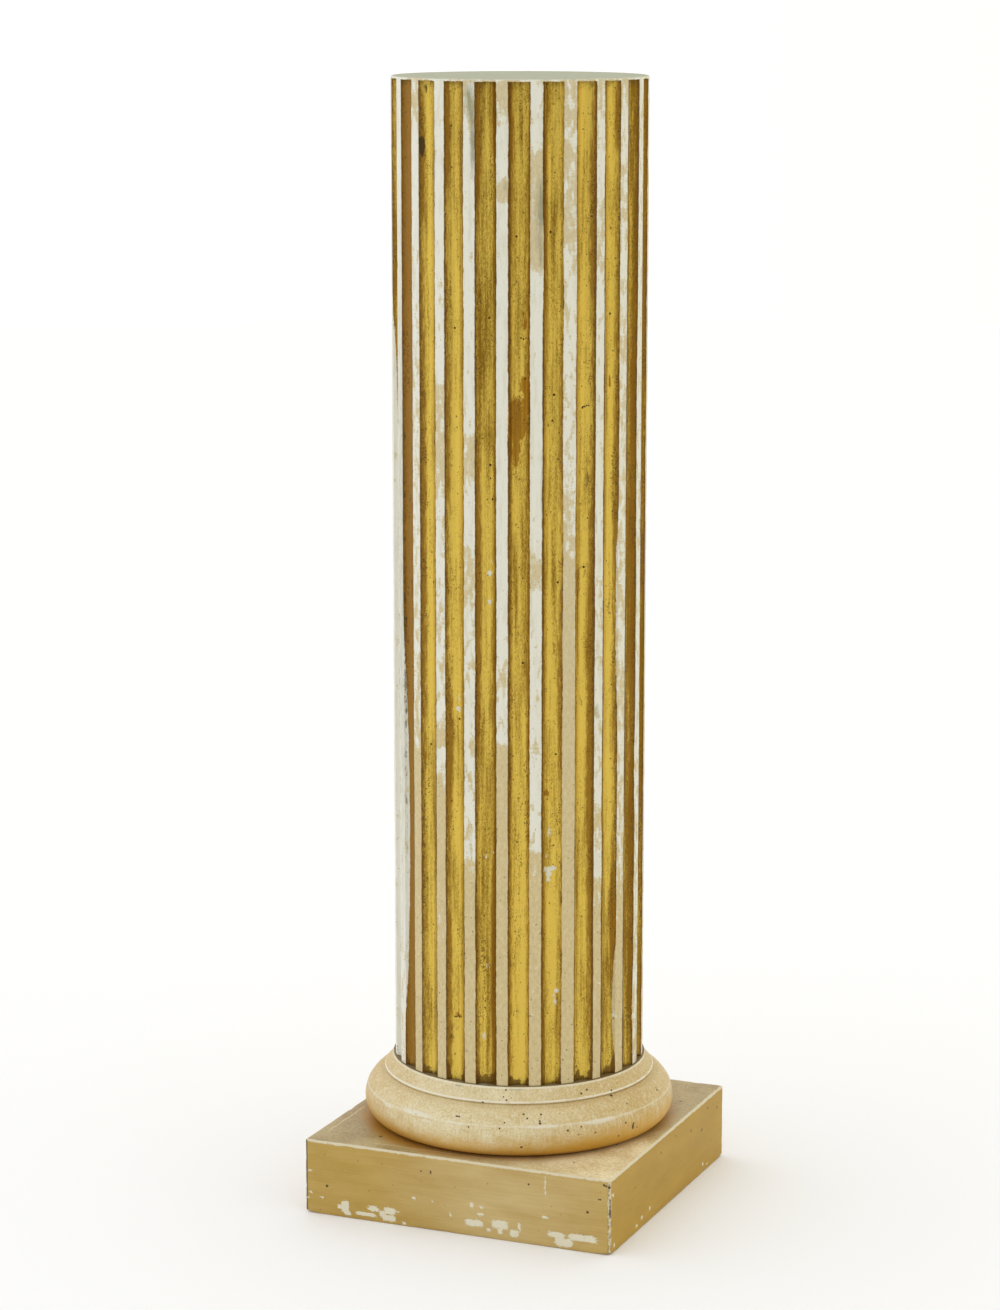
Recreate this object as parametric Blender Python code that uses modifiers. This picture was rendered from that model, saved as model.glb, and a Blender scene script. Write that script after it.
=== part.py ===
"""A fluted column pedestal: a painted timber shaft on a turned base moulding and a square plinth.

Metres, +Z up. The origin is at the centre of the plinth's underside, and the plinth's sides face X and Y.
The three pieces are stacked from the ground up, and each one rests on the piece below it.
"""
import math

import bmesh
import bpy
from mathutils import Matrix, Vector

# Air left between a piece and the one that it rests on
REST_GAP = 0.0003

# Fluted shaft, a straight cylinder with no taper
SHAFT_RADIUS = 0.127
SHAFT_LENGTH = 0.990
SHAFT_ARRIS_ROUND = 0.0015
FLUTE_COUNT = 24
FLUTE_DEPTH = 0.006
FILLET_WIDTH = 0.0132
TOP_LIP_HEIGHT = 0.0022

# Turned base moulding: a coved ring over a torus, parted by a quirk
LEDGE_WIDTH = 0.002
COVE_HEIGHT = 0.0133
COVE_FLARE = 0.009
COVE_HOLLOW = 0.0009
BEAD_HEIGHT = 0.0012
QUIRK_HEIGHT = 0.0014
QUIRK_DEPTH = 0.0016
TORUS_PROJECTION = 0.0203
TORUS_SHOULDER_HEIGHT = 0.0307
TORUS_UNDERSIDE_ROUND = 0.0208

# Square plinth
PLINTH_HEIGHT = 0.077
PLINTH_MARGIN = 0.0067
PLINTH_ARRIS_ROUND = 0.0015

# Facets
SHAFT_SIDES_PER_FLUTE = 3
FLUTE_CUTTER_SIDES = 28
MOULDING_SIDES = 96
ARC_STEPS = 7
COVE_STEPS = 4
ARRIS_STEPS = 2

# Sizes that follow from the ones above
RING_TOP_RADIUS = SHAFT_RADIUS + LEDGE_WIDTH
RING_FOOT_RADIUS = RING_TOP_RADIUS + COVE_FLARE
TORUS_RADIUS = RING_FOOT_RADIUS + TORUS_PROJECTION
TORUS_HEIGHT = TORUS_UNDERSIDE_ROUND + TORUS_SHOULDER_HEIGHT
MOULDING_HEIGHT = TORUS_HEIGHT + QUIRK_HEIGHT + BEAD_HEIGHT + COVE_HEIGHT
MOULDING_FOOT = PLINTH_HEIGHT + REST_GAP
SHAFT_FOOT = MOULDING_FOOT + MOULDING_HEIGHT + REST_GAP
PLINTH_SIDE = 2 * (TORUS_RADIUS + PLINTH_MARGIN)

# How far the flute cutter starts below the shaft's foot
CUTTER_OVERRUN = 0.005

MERGE_DISTANCE = 0.00001
SMOOTH_ANGLE = math.radians(35)


def clear_scene():
    for scene_object in list(bpy.data.objects):
        bpy.data.objects.remove(scene_object, do_unlink=True)


def new_collection(name):
    collection = bpy.data.collections.new(name)
    bpy.context.scene.collection.children.link(collection)
    return collection


def painted_timber(name, colour, roughness):
    """Timber under an old brushed coat of paint: a dielectric with little gloss."""
    material = bpy.data.materials.new(name)
    material.use_nodes = True
    shader = material.node_tree.nodes["Principled BSDF"]
    shader.inputs["Base Color"].default_value = (*colour, 1.0)
    shader.inputs["Roughness"].default_value = roughness
    shader.inputs["Metallic"].default_value = 0.0
    return material


def cream_paint():
    """The fillets' chalky coat, which is most of what shows on the shaft."""
    return painted_timber("cream_paint", (0.62, 0.56, 0.42), 0.6)


def aged_cream_paint():
    """The moulding's yellowed coat."""
    return painted_timber("aged_cream_paint", (0.55, 0.46, 0.28), 0.5)


def ochre_paint():
    """The plinth's brushed ochre coat."""
    return painted_timber("ochre_paint", (0.46, 0.34, 0.13), 0.5)


def add_object(name, mesh, collection, material=None):
    new_object = bpy.data.objects.new(name, mesh)
    collection.objects.link(new_object)
    if material is not None:
        mesh.materials.append(material)
    return new_object


def mesh_from(name, shape):
    """Turns a bmesh into a mesh and frees it."""
    mesh = bpy.data.meshes.new(name)
    shape.to_mesh(mesh)
    shape.free()
    return mesh


def arc_points(centre_radius, centre_height, size, start, end, steps):
    """Points along an arc in the turning plane; angles are in degrees, with 0 pointing outwards."""
    points = []
    for step in range(steps + 1):
        angle = math.radians(start + (end - start) * step / steps)
        points.append((centre_radius + size * math.cos(angle), centre_height + size * math.sin(angle)))
    return points


def cove_points(top, foot, hollow, steps):
    """A shallow hollow from one arris to the other, deepest at the middle of its chord."""
    run = foot[0] - top[0]
    drop = foot[1] - top[1]
    chord = math.hypot(run, drop)
    points = []
    for step in range(steps + 1):
        share = step / steps
        inset = hollow * 4 * share * (1 - share)
        radius = top[0] + run * share + inset * drop / chord
        height = top[1] + drop * share - inset * run / chord
        points.append((radius, height))
    return points


def moulding_profile():
    """Radius and height above the underside, from the middle of the top down to the middle below."""
    torus_top_radius = RING_FOOT_RADIUS - QUIRK_DEPTH
    shoulder_drop = TORUS_RADIUS - torus_top_radius
    shoulder_round = (TORUS_SHOULDER_HEIGHT ** 2 + shoulder_drop ** 2) / (2 * shoulder_drop)
    shoulder_end = math.degrees(math.atan2(TORUS_SHOULDER_HEIGHT, shoulder_round - shoulder_drop))
    cove_foot_height = MOULDING_HEIGHT - COVE_HEIGHT
    bead_underside = cove_foot_height - BEAD_HEIGHT
    belly_height = TORUS_UNDERSIDE_ROUND
    cove_top = (RING_TOP_RADIUS, MOULDING_HEIGHT)
    cove_foot = (RING_FOOT_RADIUS, cove_foot_height)
    shoulder_centre = TORUS_RADIUS - shoulder_round
    shoulder = arc_points(shoulder_centre, belly_height, shoulder_round, shoulder_end, 0, ARC_STEPS)
    underside = arc_points(TORUS_RADIUS - belly_height, belly_height, belly_height, 0, -90, ARC_STEPS)
    profile = [(0.0, MOULDING_HEIGHT)]
    profile += cove_points(cove_top, cove_foot, COVE_HOLLOW, COVE_STEPS)
    profile += [(RING_FOOT_RADIUS, bead_underside), (torus_top_radius, bead_underside)]
    profile += shoulder + underside[1:]
    profile.append((0.0, 0.0))
    return profile


def build_base_moulding(collection):
    """The profile is a chain of edges at +X, which the Screw modifier turns about the column's axis."""
    shape = bmesh.new()
    corners = [shape.verts.new((radius, 0.0, height)) for radius, height in moulding_profile()]
    for upper, lower in zip(corners, corners[1:]):
        shape.edges.new((upper, lower))
    mesh = mesh_from("base_moulding", shape)
    moulding = add_object("base_moulding", mesh, collection, aged_cream_paint())
    moulding.location.z = MOULDING_FOOT
    turning = moulding.modifiers.new("turning", "SCREW")
    turning.axis = "Z"
    turning.angle = math.tau
    turning.steps = MOULDING_SIDES
    turning.render_steps = MOULDING_SIDES
    turning.use_merge_vertices = True
    turning.merge_threshold = MERGE_DISTANCE
    turning.use_smooth_shade = True
    return moulding


def build_plinth(collection):
    shape = bmesh.new()
    bmesh.ops.create_cube(shape, size=1.0)
    bmesh.ops.scale(shape, verts=shape.verts, vec=(PLINTH_SIDE, PLINTH_SIDE, PLINTH_HEIGHT))
    plinth = add_object("plinth", mesh_from("plinth", shape), collection, ochre_paint())
    plinth.location.z = PLINTH_HEIGHT / 2
    arris = plinth.modifiers.new("worn_arris", "BEVEL")
    arris.width = PLINTH_ARRIS_ROUND
    arris.segments = ARRIS_STEPS
    return plinth


def flute_centres():
    """Directions of the flutes, so that a fillet faces the middle of each side of the plinth."""
    pitch = math.tau / FLUTE_COUNT
    return [pitch * (index + 0.5) for index in range(FLUTE_COUNT)]


def build_flute_cutter(collection):
    """Upright rods round the shaft that bite into it, from below its foot up to the lip at its top."""
    flute_width = math.tau * SHAFT_RADIUS / FLUTE_COUNT - FILLET_WIDTH
    half_angle = flute_width / SHAFT_RADIUS / 2
    half_chord = SHAFT_RADIUS * math.sin(half_angle)
    chord_distance = SHAFT_RADIUS * math.cos(half_angle)
    rise = FLUTE_DEPTH - (SHAFT_RADIUS - chord_distance)
    rod_radius = (half_chord ** 2 + rise ** 2) / (2 * rise)
    rod_distance = SHAFT_RADIUS - FLUTE_DEPTH + rod_radius
    rod_length = SHAFT_LENGTH - TOP_LIP_HEIGHT + CUTTER_OVERRUN
    shape = bmesh.new()
    for direction in flute_centres():
        rod = bmesh.ops.create_cone(shape, cap_ends=True, segments=FLUTE_CUTTER_SIDES, radius1=rod_radius,
                                    radius2=rod_radius, depth=rod_length)["verts"]
        place = Vector((rod_distance * math.cos(direction), rod_distance * math.sin(direction), 0.0))
        place.z = rod_length / 2 - CUTTER_OVERRUN
        bmesh.ops.translate(shape, verts=rod, vec=place)
    cutter = add_object("flute_cutter", mesh_from("flute_cutter", shape), collection)
    cutter.location.z = SHAFT_FOOT
    cutter.hide_render = True
    cutter.display_type = "WIRE"
    return cutter


def build_fluted_shaft(collection, cutter_collection):
    sides = FLUTE_COUNT * SHAFT_SIDES_PER_FLUTE
    shape = bmesh.new()
    bmesh.ops.create_cone(shape, cap_ends=True, segments=sides, radius1=SHAFT_RADIUS, radius2=SHAFT_RADIUS,
                          depth=SHAFT_LENGTH)
    # A flat side of the round shaft, not a corner, faces the middle of each fillet
    bmesh.ops.rotate(shape, verts=shape.verts, matrix=Matrix.Rotation(math.pi / sides, 3, "Z"))
    bmesh.ops.translate(shape, verts=shape.verts, vec=(0, 0, SHAFT_LENGTH / 2))
    top_rim = [edge for edge in shape.edges if all(vert.co.z > SHAFT_LENGTH / 2 for vert in edge.verts)]
    bmesh.ops.bevel(shape, geom=top_rim, offset=SHAFT_ARRIS_ROUND, segments=ARRIS_STEPS, profile=0.5,
                    affect="EDGES", material=-1)
    mesh = mesh_from("fluted_shaft", shape)
    mesh.shade_smooth()
    mesh.set_sharp_from_angle(angle=SMOOTH_ANGLE)
    shaft = add_object("fluted_shaft", mesh, collection, cream_paint())
    shaft.location.z = SHAFT_FOOT
    flutes = shaft.modifiers.new("flutes", "BOOLEAN")
    flutes.operation = "DIFFERENCE"
    flutes.solver = "EXACT"
    flutes.object = build_flute_cutter(cutter_collection)
    return shaft


def build_pedestal():
    clear_scene()
    pedestal = new_collection("fluted_column_pedestal")
    cutters = new_collection("cutters")
    build_plinth(pedestal)
    build_base_moulding(pedestal)
    build_fluted_shaft(pedestal, cutters)


build_pedestal()
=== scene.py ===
import math

import bmesh
import bpy
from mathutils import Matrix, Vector, noise


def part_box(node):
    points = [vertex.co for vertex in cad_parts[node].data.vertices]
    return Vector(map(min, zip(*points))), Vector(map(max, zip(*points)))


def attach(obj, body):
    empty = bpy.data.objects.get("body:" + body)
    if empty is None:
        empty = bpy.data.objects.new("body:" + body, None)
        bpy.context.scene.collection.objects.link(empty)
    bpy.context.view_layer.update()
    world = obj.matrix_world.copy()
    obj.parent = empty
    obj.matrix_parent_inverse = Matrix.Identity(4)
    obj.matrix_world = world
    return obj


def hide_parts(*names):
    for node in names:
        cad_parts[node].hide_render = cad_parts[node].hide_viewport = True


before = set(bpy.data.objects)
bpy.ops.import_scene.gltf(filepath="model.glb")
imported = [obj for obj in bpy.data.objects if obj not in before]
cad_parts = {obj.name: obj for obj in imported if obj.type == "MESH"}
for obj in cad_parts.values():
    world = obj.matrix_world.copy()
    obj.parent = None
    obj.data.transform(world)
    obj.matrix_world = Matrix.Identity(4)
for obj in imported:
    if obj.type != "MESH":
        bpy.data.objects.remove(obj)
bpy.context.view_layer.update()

MM = 0.001
UP = (0.0, 0.0, 1.0)
ORIGIN = (0.0, 0.0, 0.0)
WELD = 0.01 * MM

# Heights and the plinth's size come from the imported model
SHAFT_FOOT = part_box("fluted_shaft")[0].z
SHAFT_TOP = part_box("fluted_shaft")[1].z
MOULDING_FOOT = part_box("base_moulding")[0].z
MOULDING_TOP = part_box("base_moulding")[1].z
PLINTH_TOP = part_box("plinth")[1].z
PLINTH_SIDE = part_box("plinth")[1].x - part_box("plinth")[0].x

# Shaft
SHAFT_RADIUS = 127 * MM
FLUTE_COUNT = 24
FLUTE_PITCH = math.tau / FLUTE_COUNT
FLUTE_DEPTH = 6 * MM
FILLET_WIDTH = 13.2 * MM
FILLET_SWEEP = FILLET_WIDTH / SHAFT_RADIUS
FLUTE_HALF_WIDTH = (FLUTE_PITCH * SHAFT_RADIUS - FILLET_WIDTH) / 2
TOP_LIP_HEIGHT = 2.2 * MM
LIP_UNDERSIDE = SHAFT_TOP - TOP_LIP_HEIGHT
TOP_ARRIS_ROUND = 1.8 * MM

# Base moulding, from the ring that the shaft stands on down to the torus
RING_TOP_RADIUS = SHAFT_RADIUS + 2 * MM
RING_FOOT_RADIUS = RING_TOP_RADIUS + 9 * MM
COVE_HEIGHT = 13.3 * MM
COVE_HOLLOW = 0.9 * MM
BEAD_HEIGHT = 1.2 * MM
QUIRK_DEPTH = 1.6 * MM
TORUS_RADIUS = RING_FOOT_RADIUS + 20.3 * MM
TORUS_SHOULDER_HEIGHT = 30.7 * MM
TORUS_UNDERSIDE_ROUND = 20.8 * MM
MOULDING_ARRIS_ROUND = 0.45 * MM
RIDGE_HEIGHT = MOULDING_FOOT + 34.7 * MM

# Plinth
PLINTH_ARRIS_ROUND = 1.5 * MM
PLINTH_KNOCK_REACH = 2.5 * MM
CORNER_WEAR_REACH = 18 * MM
CORNER_WEAR_HEIGHT = 6 * MM
CORNER_WEAR_LIFT = 2.2 * MM

# The camera stands to the right of the plinth's front and looks slightly down
CAMERA_TURN = math.radians(22.475)
CAMERA_DISTANCE = 3.58593
CAMERA_HEIGHT = 1.25071
CAMERA_HEADING = math.radians(22.788)
CAMERA_TILT = math.radians(90 - 10.942)
CAMERA_LENS = 99.577
FLOOR_RADIUS = 9.0

# How deep the wear goes: wandering surfaces, knocked arrises, drips under the lip and nicks in the bead
TOP_WANDER = 0.12 * MM
SHAFT_WANDER = 0.14 * MM
SHAFT_KNOCK = 0.75 * MM
LIP_DRIP = 0.55 * MM
MOULDING_WANDER = 0.12 * MM
BEAD_NICK = 0.7 * MM
RIDGE_RISE = 0.28 * MM
PLINTH_KNOCK = 0.5 * MM

# How finely the surfaces are cut up
FILLET_STEPS = 4
FLUTE_STEPS = 10
SHAFT_ROWS = 176
TOP_RINGS = 9
MOULDING_STEPS = 480
PLINTH_CELL = 2.2 * MM

# The polar angle that faces the camera; the marks below are placed by their angle to the right of it
FRONT_ANGLE = math.degrees(CAMERA_TURN) - 90

# Where bare gesso shows on the fillets that the photograph shows, counted from +X: height in mm and share
BARE_STRETCHES = {
    14: ((1135, 0.9), (145, 0.8)),
    15: ((1135, 0.9), (599, 0.85), (286, 0.8), (145, 0.5)),
    16: ((1135, 0.3), (1095, 0.35), (1085, 0.85), (1012, 0.72), (904, 0.6), (785, 0.55), (563, 0.5),
        (486, 0.4), (466, -0.2), (145, -0.3)),
    17: ((1135, 0.6), (1086, 0.8), (911, 0.85), (850, 0.8), (842, 0.25), (735, 0.25), (728, 0.68),
        (649, 0.55), (505, 0.6), (501, 0.0), (486, 0.0), (482, 0.8), (458, 0.7), (451, 0.1), (438, -0.2),
        (321, -0.25), (313, 0.2), (290, 0.2), (283, -0.2), (145, -0.1)),
    18: ((1135, 0.35), (1092, 0.5), (1058, 0.85), (912, 0.85), (800, 0.75), (791, 0.3), (740, 0.3),
        (734, 0.8), (691, 0.75), (685, 0.25), (640, 0.25), (632, 0.6), (500, 0.56), (429, 0.62),
        (382, 0.6), (359, -0.1), (346, -0.25), (145, -0.3)),
    19: ((1135, 0.25), (1094, 0.2), (1088, 0.75), (1046, 0.8), (1037, 0.15), (1021, 0.15), (1016, 0.95),
        (612, 0.92), (600, 0.66), (540, 0.5), (526, 0.6), (496, 0.55), (490, -0.1), (472, -0.3),
        (145, -0.3)),
    20: ((1135, 0.6), (1092, 0.75), (1072, 0.6), (1064, 0.0), (960, 0.05), (946, 0.95), (686, 0.85),
        (678, 0.3), (648, 0.25), (640, 0.85), (573, 0.7), (410, 0.75), (390, 0.6), (379, -0.05),
        (145, -0.2)),
    21: ((1135, 0.35), (1092, 0.3), (1082, 0.55), (1063, 0.3), (986, 0.3), (967, 0.62), (869, 0.66),
        (761, 0.6), (746, 0.45), (690, 0.3), (676, 0.0), (611, -0.1), (531, -0.25), (388, -0.15),
        (305, -0.1), (145, -0.2)),
    22: ((1135, 0.4), (1072, 0.45), (1052, 0.75), (1004, 0.5), (956, 0.45), (926, 0.8), (568, 0.62),
        (445, 0.55), (404, 0.3), (381, 0.4), (377, 0.95), (355, 0.95), (351, 0.1), (248, 0.0), (145, 0.0)),
    23: ((1135, 0.35), (1109, 0.4), (1099, 0.8), (1041, 0.5), (1002, 0.45), (963, 0.72), (904, 0.4),
        (805, 0.5), (563, 0.48), (361, 0.4), (341, 0.1), (145, 0.0)),
    0: ((1135, 0.6), (902, 0.62), (599, 0.6), (328, 0.5), (233, 0.4), (145, 0.3)),
    1: ((1135, 0.5), (145, 0.4)),
}
# On the fillets at the back the coat changes at about this height, in mm
HIDDEN_CHANGE_HEIGHT = 440
HIDDEN_CHANGE_SPREAD = 160

# How far the bronze laps over each fillet's left and right edge in mm; at other fillets it is the last pair
EDGE_LAPS = {14: (1.0, 4.0), 15: (-0.5, 1.5), 16: (0.2, 1.5), 17: (0.9, 1.2), 18: (0.6, 1.1), 19: (0.6, 1.5),
             20: (-0.1, 1.5), 21: (-0.3, 0.3), 22: (2.2, 1.3), 23: (0.6, 1.2), 0: (1.8, 0.2),
             "hidden": (0.7, 0.7)}

# How much of the light bronze shows in each flute that the photograph shows: at its top, middle and foot
FLUTE_TONES = {13: (0.2, 0.2, 0.2), 14: (0.1, 0.0, 0.0), 15: (-0.62, -0.62, -0.45), 16: (0.62, 0.8, 0.58),
               17: (0.56, 0.9, 0.72), 18: (0.26, 0.48, 0.5), 19: (0.24, 0.6, 0.92), 20: (0.4, 0.66, 0.6),
               21: (0.86, 0.74, 0.7), 22: (0.8, 0.82, 0.36), 23: (-0.06, -0.06, -0.02), 0: (-0.4, -0.3, -0.1),
               1: (0.1, 0.1, 0.1)}

# Spots on the column: angle in degrees, height, half width and half height in mm, and strength
BOLE_SPOTS = (
    (2.5, 846, 8, 12, 1.1), (-1.2, 811, 14, 28, 1.5), (3.6, 832, 5, 22, 1.4), (-1.5, 784, 7, 26, 1.0),
    (2.6, 903, 5, 10, 0.9), (-0.5, 894, 9, 3, 0.9), (1.5, 914, 3, 4, 0.7), (-42.5, 786, 2.5, 3, 1.2),
    (46, 844, 2.5, 9, 1.1),
    (12.5, 442, 5, 3, 1.3), (58.5, 338, 3, 12, 1.0), (32, 821, 4, 1.5, 1.1), (-18, 1044, 5, 16, 0.7),
    (16, 587, 2, 12, 0.8), (46, 994, 3, 5, 0.7), (28, 651, 6, 22, 0.6), (-33, 569, 4, 20, 0.55),
    (60, 290, 4, 40, 0.7), (-30, 212, 6, 1.6, 1.1), (-18.6, 511, 2.6, 34, 0.7),
    (49, 306, 2.2, 36, 1.0), (61.5, 703, 5, 60, 0.6), (73, 881, 6, 240, 0.75), (-150, 700, 9, 40, 0.9),
    (160, 420, 8, 18, 1.0), (118, 900, 7, 25, 0.9), (-94, 800, 3, 200, 0.7),
)
# Where the painted shade along a flute's edge spreads further into it; the strength is in mm
EDGE_SHADE_SPOTS = (
    (-11.5, 280, 8, 150, 7), (-12, 560, 5, 150, 3), (-18.6, 640, 5, 170, 5), (-18.4, 1080, 5, 80, 5),
    (-11, 1100, 5, 60, 5), (-33.4, 480, 5, 90, 5.5), (-33.6, 1080, 4.5, 70, 5), (-33.6, 250, 4, 120, 3.5),
    (-33.6, 800, 4, 120, 2.5), (-48.6, 700, 4, 300, 3.5), (-48.6, 1060, 4, 80, 4), (-3.5, 1080, 4, 60, 3),
    (3.6, 900, 4, 120, 2), (4, 560, 4, 150, 2), (11.4, 1000, 4, 120, 2.5), (18.6, 540, 4, 120, 3),
    (18.8, 800, 4, 100, 3), (33.6, 480, 4.5, 330, 4.5), (33.6, 1000, 4, 120, 4), (48.8, 310, 5, 60, 7),
    (48.8, 700, 4, 300, 3), (48.8, 1100, 4, 40, 4), (63.4, 640, 5, 480, 5), (57, 800, 5, 300, 3),
    (60, 330, 8, 90, 4), (72, 900, 12, 250, 5), (140, 600, 6, 300, 5), (-130, 800, 5, 250, 5),
)
SOOT_SPOTS = (
    (-48.8, 1070, 2.6, 16, 1.4), (-47.5, 1126, 2.5, 9, 1.0), (32.5, 753, 5, 16, 0.6), (31, 661, 7, 14, 0.5),
    (30, 535, 5, 14, 0.62),
    (-33, 190, 3, 14, 1.0), (-45.5, 1100, 1.2, 8, 0.7), (75, 999, 5, 120, 0.7),
    (-61, 642, 2.0, 50, 0.6), (-64.1, 600, 2.4, 330, 0.66),
    (140, 980, 3, 20, 0.9), (-70.8, 560, 3.0, 400, 0.68),
)
CHALK_SPOTS = (
    (-13, 673, 1.4, 3, 1.1), (-13.5, 648, 1.8, 3, 1.0), (-29.3, 535, 3.2, 5, 1.1),
    (16.8, 242, 2.2, 3, 1.2), (17, 229, 3.5, 4, 0.9), (-16.5, 193, 4, 6, 0.9), (14, 404, 7, 18, 0.6),
    (15, 228, 8, 20, 0.55), (-15, 267, 6, 16, 0.5), (170, 560, 5, 8, 1.2), (-120, 330, 4, 6, 1.1),
)
STAIN_SPOTS = (
    (-20.5, 1087, 5, 60, 1.25), (-22.5, 1115, 7, 26, 1.1), (9.5, 1014, 4, 40, 1.25),
    (9.5, 972, 3, 30, 1.0), (7.5, 1005, 6, 60, 0.6), (-6.5, 1035, 3, 10, 0.9), (37, 521, 5, 12, 0.8),
    (9.9, 745, 2.5, 80, 1.1), (36, 709, 3, 20, 0.7), (-67, 640, 14, 600, 0.6), (130, 800, 4, 50, 0.8),
)
# Where the gesso has slopped over a fillet's edge into the flute; the strength is in mm
SLOP_SPOTS = (
    (-63.5, 393, 11, 230, 5.0), (49, 615, 6, 120, 1.8), (49, 219, 6, 70, 2.6), (64, 791, 6, 130, 1.6),
    (64, 457, 6, 60, 1.4), (64, 214, 6, 60, 2.0), (-3, 1087, 5, 40, 1.0), (10, 958, 4, 60, 1.2),
    (-78, 380, 11, 700, 11.5),
)

# Dark dots and flakes of chalk on the shaft: angle in degrees, height and size in mm
SHAFT_DOTS = (
    (-13.5, 767, 1.4), (-12.4, 734, 1.3), (-13.4, 754, 0.9), (-11.5, 809, 1.0), (15.8, 835, 1.3),
    (15.1, 810, 1.1), (2.4, 851, 1.1), (30, 821, 1.1), (17.5, 652, 1.2), (-31, 898, 1.1), (-29, 514, 1.2),
    (1.5, 573, 1.2), (31, 665, 1.3), (-1.5, 987, 1.2), (46, 910, 1.2), (-44, 647, 1.1), (14, 991, 1.3),
    (-46, 484, 1.1), (-31.6, 210, 0.9), (-30.8, 210, 0.9), (-30, 211, 0.9), (-29.2, 210, 0.9),
    (-28.4, 211, 0.9), (30.4, 822, 0.9), (31.2, 822, 0.9), (32, 823, 0.9), (32.8, 823, 0.9),
    (0.6, 890, 0.9), (1.6, 889, 1.0), (2.6, 890, 0.9), (3.6, 890, 0.9), (17, 481, 1.1), (-14, 909, 1.2),
    (33.5, 1005, 1.0), (160, 700, 1.3), (-110, 540, 1.3), (125, 330, 1.2),
)
CHALK_FLAKES = (
    (12.0, 366, 2.9), (13.9, 365, 3.4), (15.9, 366, 2.6), (13.9, 360, 3.3), (13.6, 355, 2.4),
    (12.8, 379, 1.4), (-15.8, 378, 1.4), (-12.0, 383, 1.0), (-13.7, 661, 2.7), (-13.9, 633, 2.2),
    (17.6, 241, 2.2), (16.4, 236, 1.4), (175, 560, 4.0), (-29.5, 524, 2.6),
)
# Dots and worm holes on the moulding: angle in degrees, height, distance from the axis and size in mm
MOULDING_DOTS = (
    (46.3, 96.0, 158.2, 1.4), (46.2, 98.0, 158.2, 1.6), (46.6, 100.2, 158.0, 1.3),
    (30.7, 137.4, 132.7, 1.2), (27.5, 135.0, 134.5, 1.2), (42.6, 132.4, 136.8, 1.1),
    (41.8, 127.9, 138.7, 1.7), (46.1, 119.5, 150.1, 0.9), (68.2, 118.6, 150.8, 1.2),
    (48.6, 95.0, 157.9, 0.8), (42.6, 103.5, 157.8, 1.1), (39.3, 91.7, 157.2, 1.0),
    (28.9, 100.9, 158.0, 0.8), (18.0, 106.4, 157.0, 1.1), (22.0, 101.2, 158.0, 0.7),
    (-15.2, 129.9, 137.5, 1.2), (-5.7, 141.8, 130.0, 0.9), (-5.2, 133.3, 136.0, 1.0),
    (-6.6, 135.7, 133.8, 0.8), (1.8, 122.4, 147.2, 1.1), (3.1, 119.1, 150.5, 1.0),
    (8.5, 121.9, 147.7, 1.1), (7.8, 116.6, 152.3, 1.0), (7.8, 114.6, 153.7, 1.3),
    (-5.4, 115.4, 153.2, 0.9), (-7.1, 110.1, 156.0, 0.9), (-18.7, 109.4, 156.2, 0.8),
    (-24.2, 117.5, 151.7, 0.9), (-23.6, 117.5, 151.7, 0.9), (-23.0, 117.4, 151.7, 0.9),
    (0.9, 91.7, 157.1, 1.2), (23.3, 108.5, 156.5, 0.9), (140, 115, 153.4, 1.4), (-130, 104, 157.7, 1.3),
    (-155, 121, 148.7, 1.2), (105, 99, 158.2, 1.3),
)
# Where the ridge round the torus and the band beside it are rubbed white, and where grey has rubbed off on
# the ring: angle in degrees, height, half width and half height in mm, and strength
RUB_SPOTS = (
    (-58, 110.5, 14, 3.0, 1.0), (-42, 113.5, 26, 3.4, 1.2), (-36, 108.5, 10, 2.4, 1.0),
    (-24, 111.3, 16, 2.2, 0.9), (9, 111.5, 24, 2.6, 1.1), (31, 111.0, 26, 3.2, 1.3),
    (45, 111.0, 10, 2.4, 0.7), (62, 112, 18, 12, 0.5), (13.7, 141.5, 5, 3, 0.9), (-2, 108, 30, 3, 0.35),
    (10, 104, 14, 3, 0.5), (150, 111, 40, 3, 1.0), (-140, 111, 50, 3, 0.9),
)
GREY_SPOTS = (
    (-27.4, 142.2, 8, 2, 1.0), (-1.2, 142.2, 14, 1.6, 1.2), (-17, 144.5, 10, 1, 0.8),
    (160, 141, 12, 2, 1.0),
)

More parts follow.
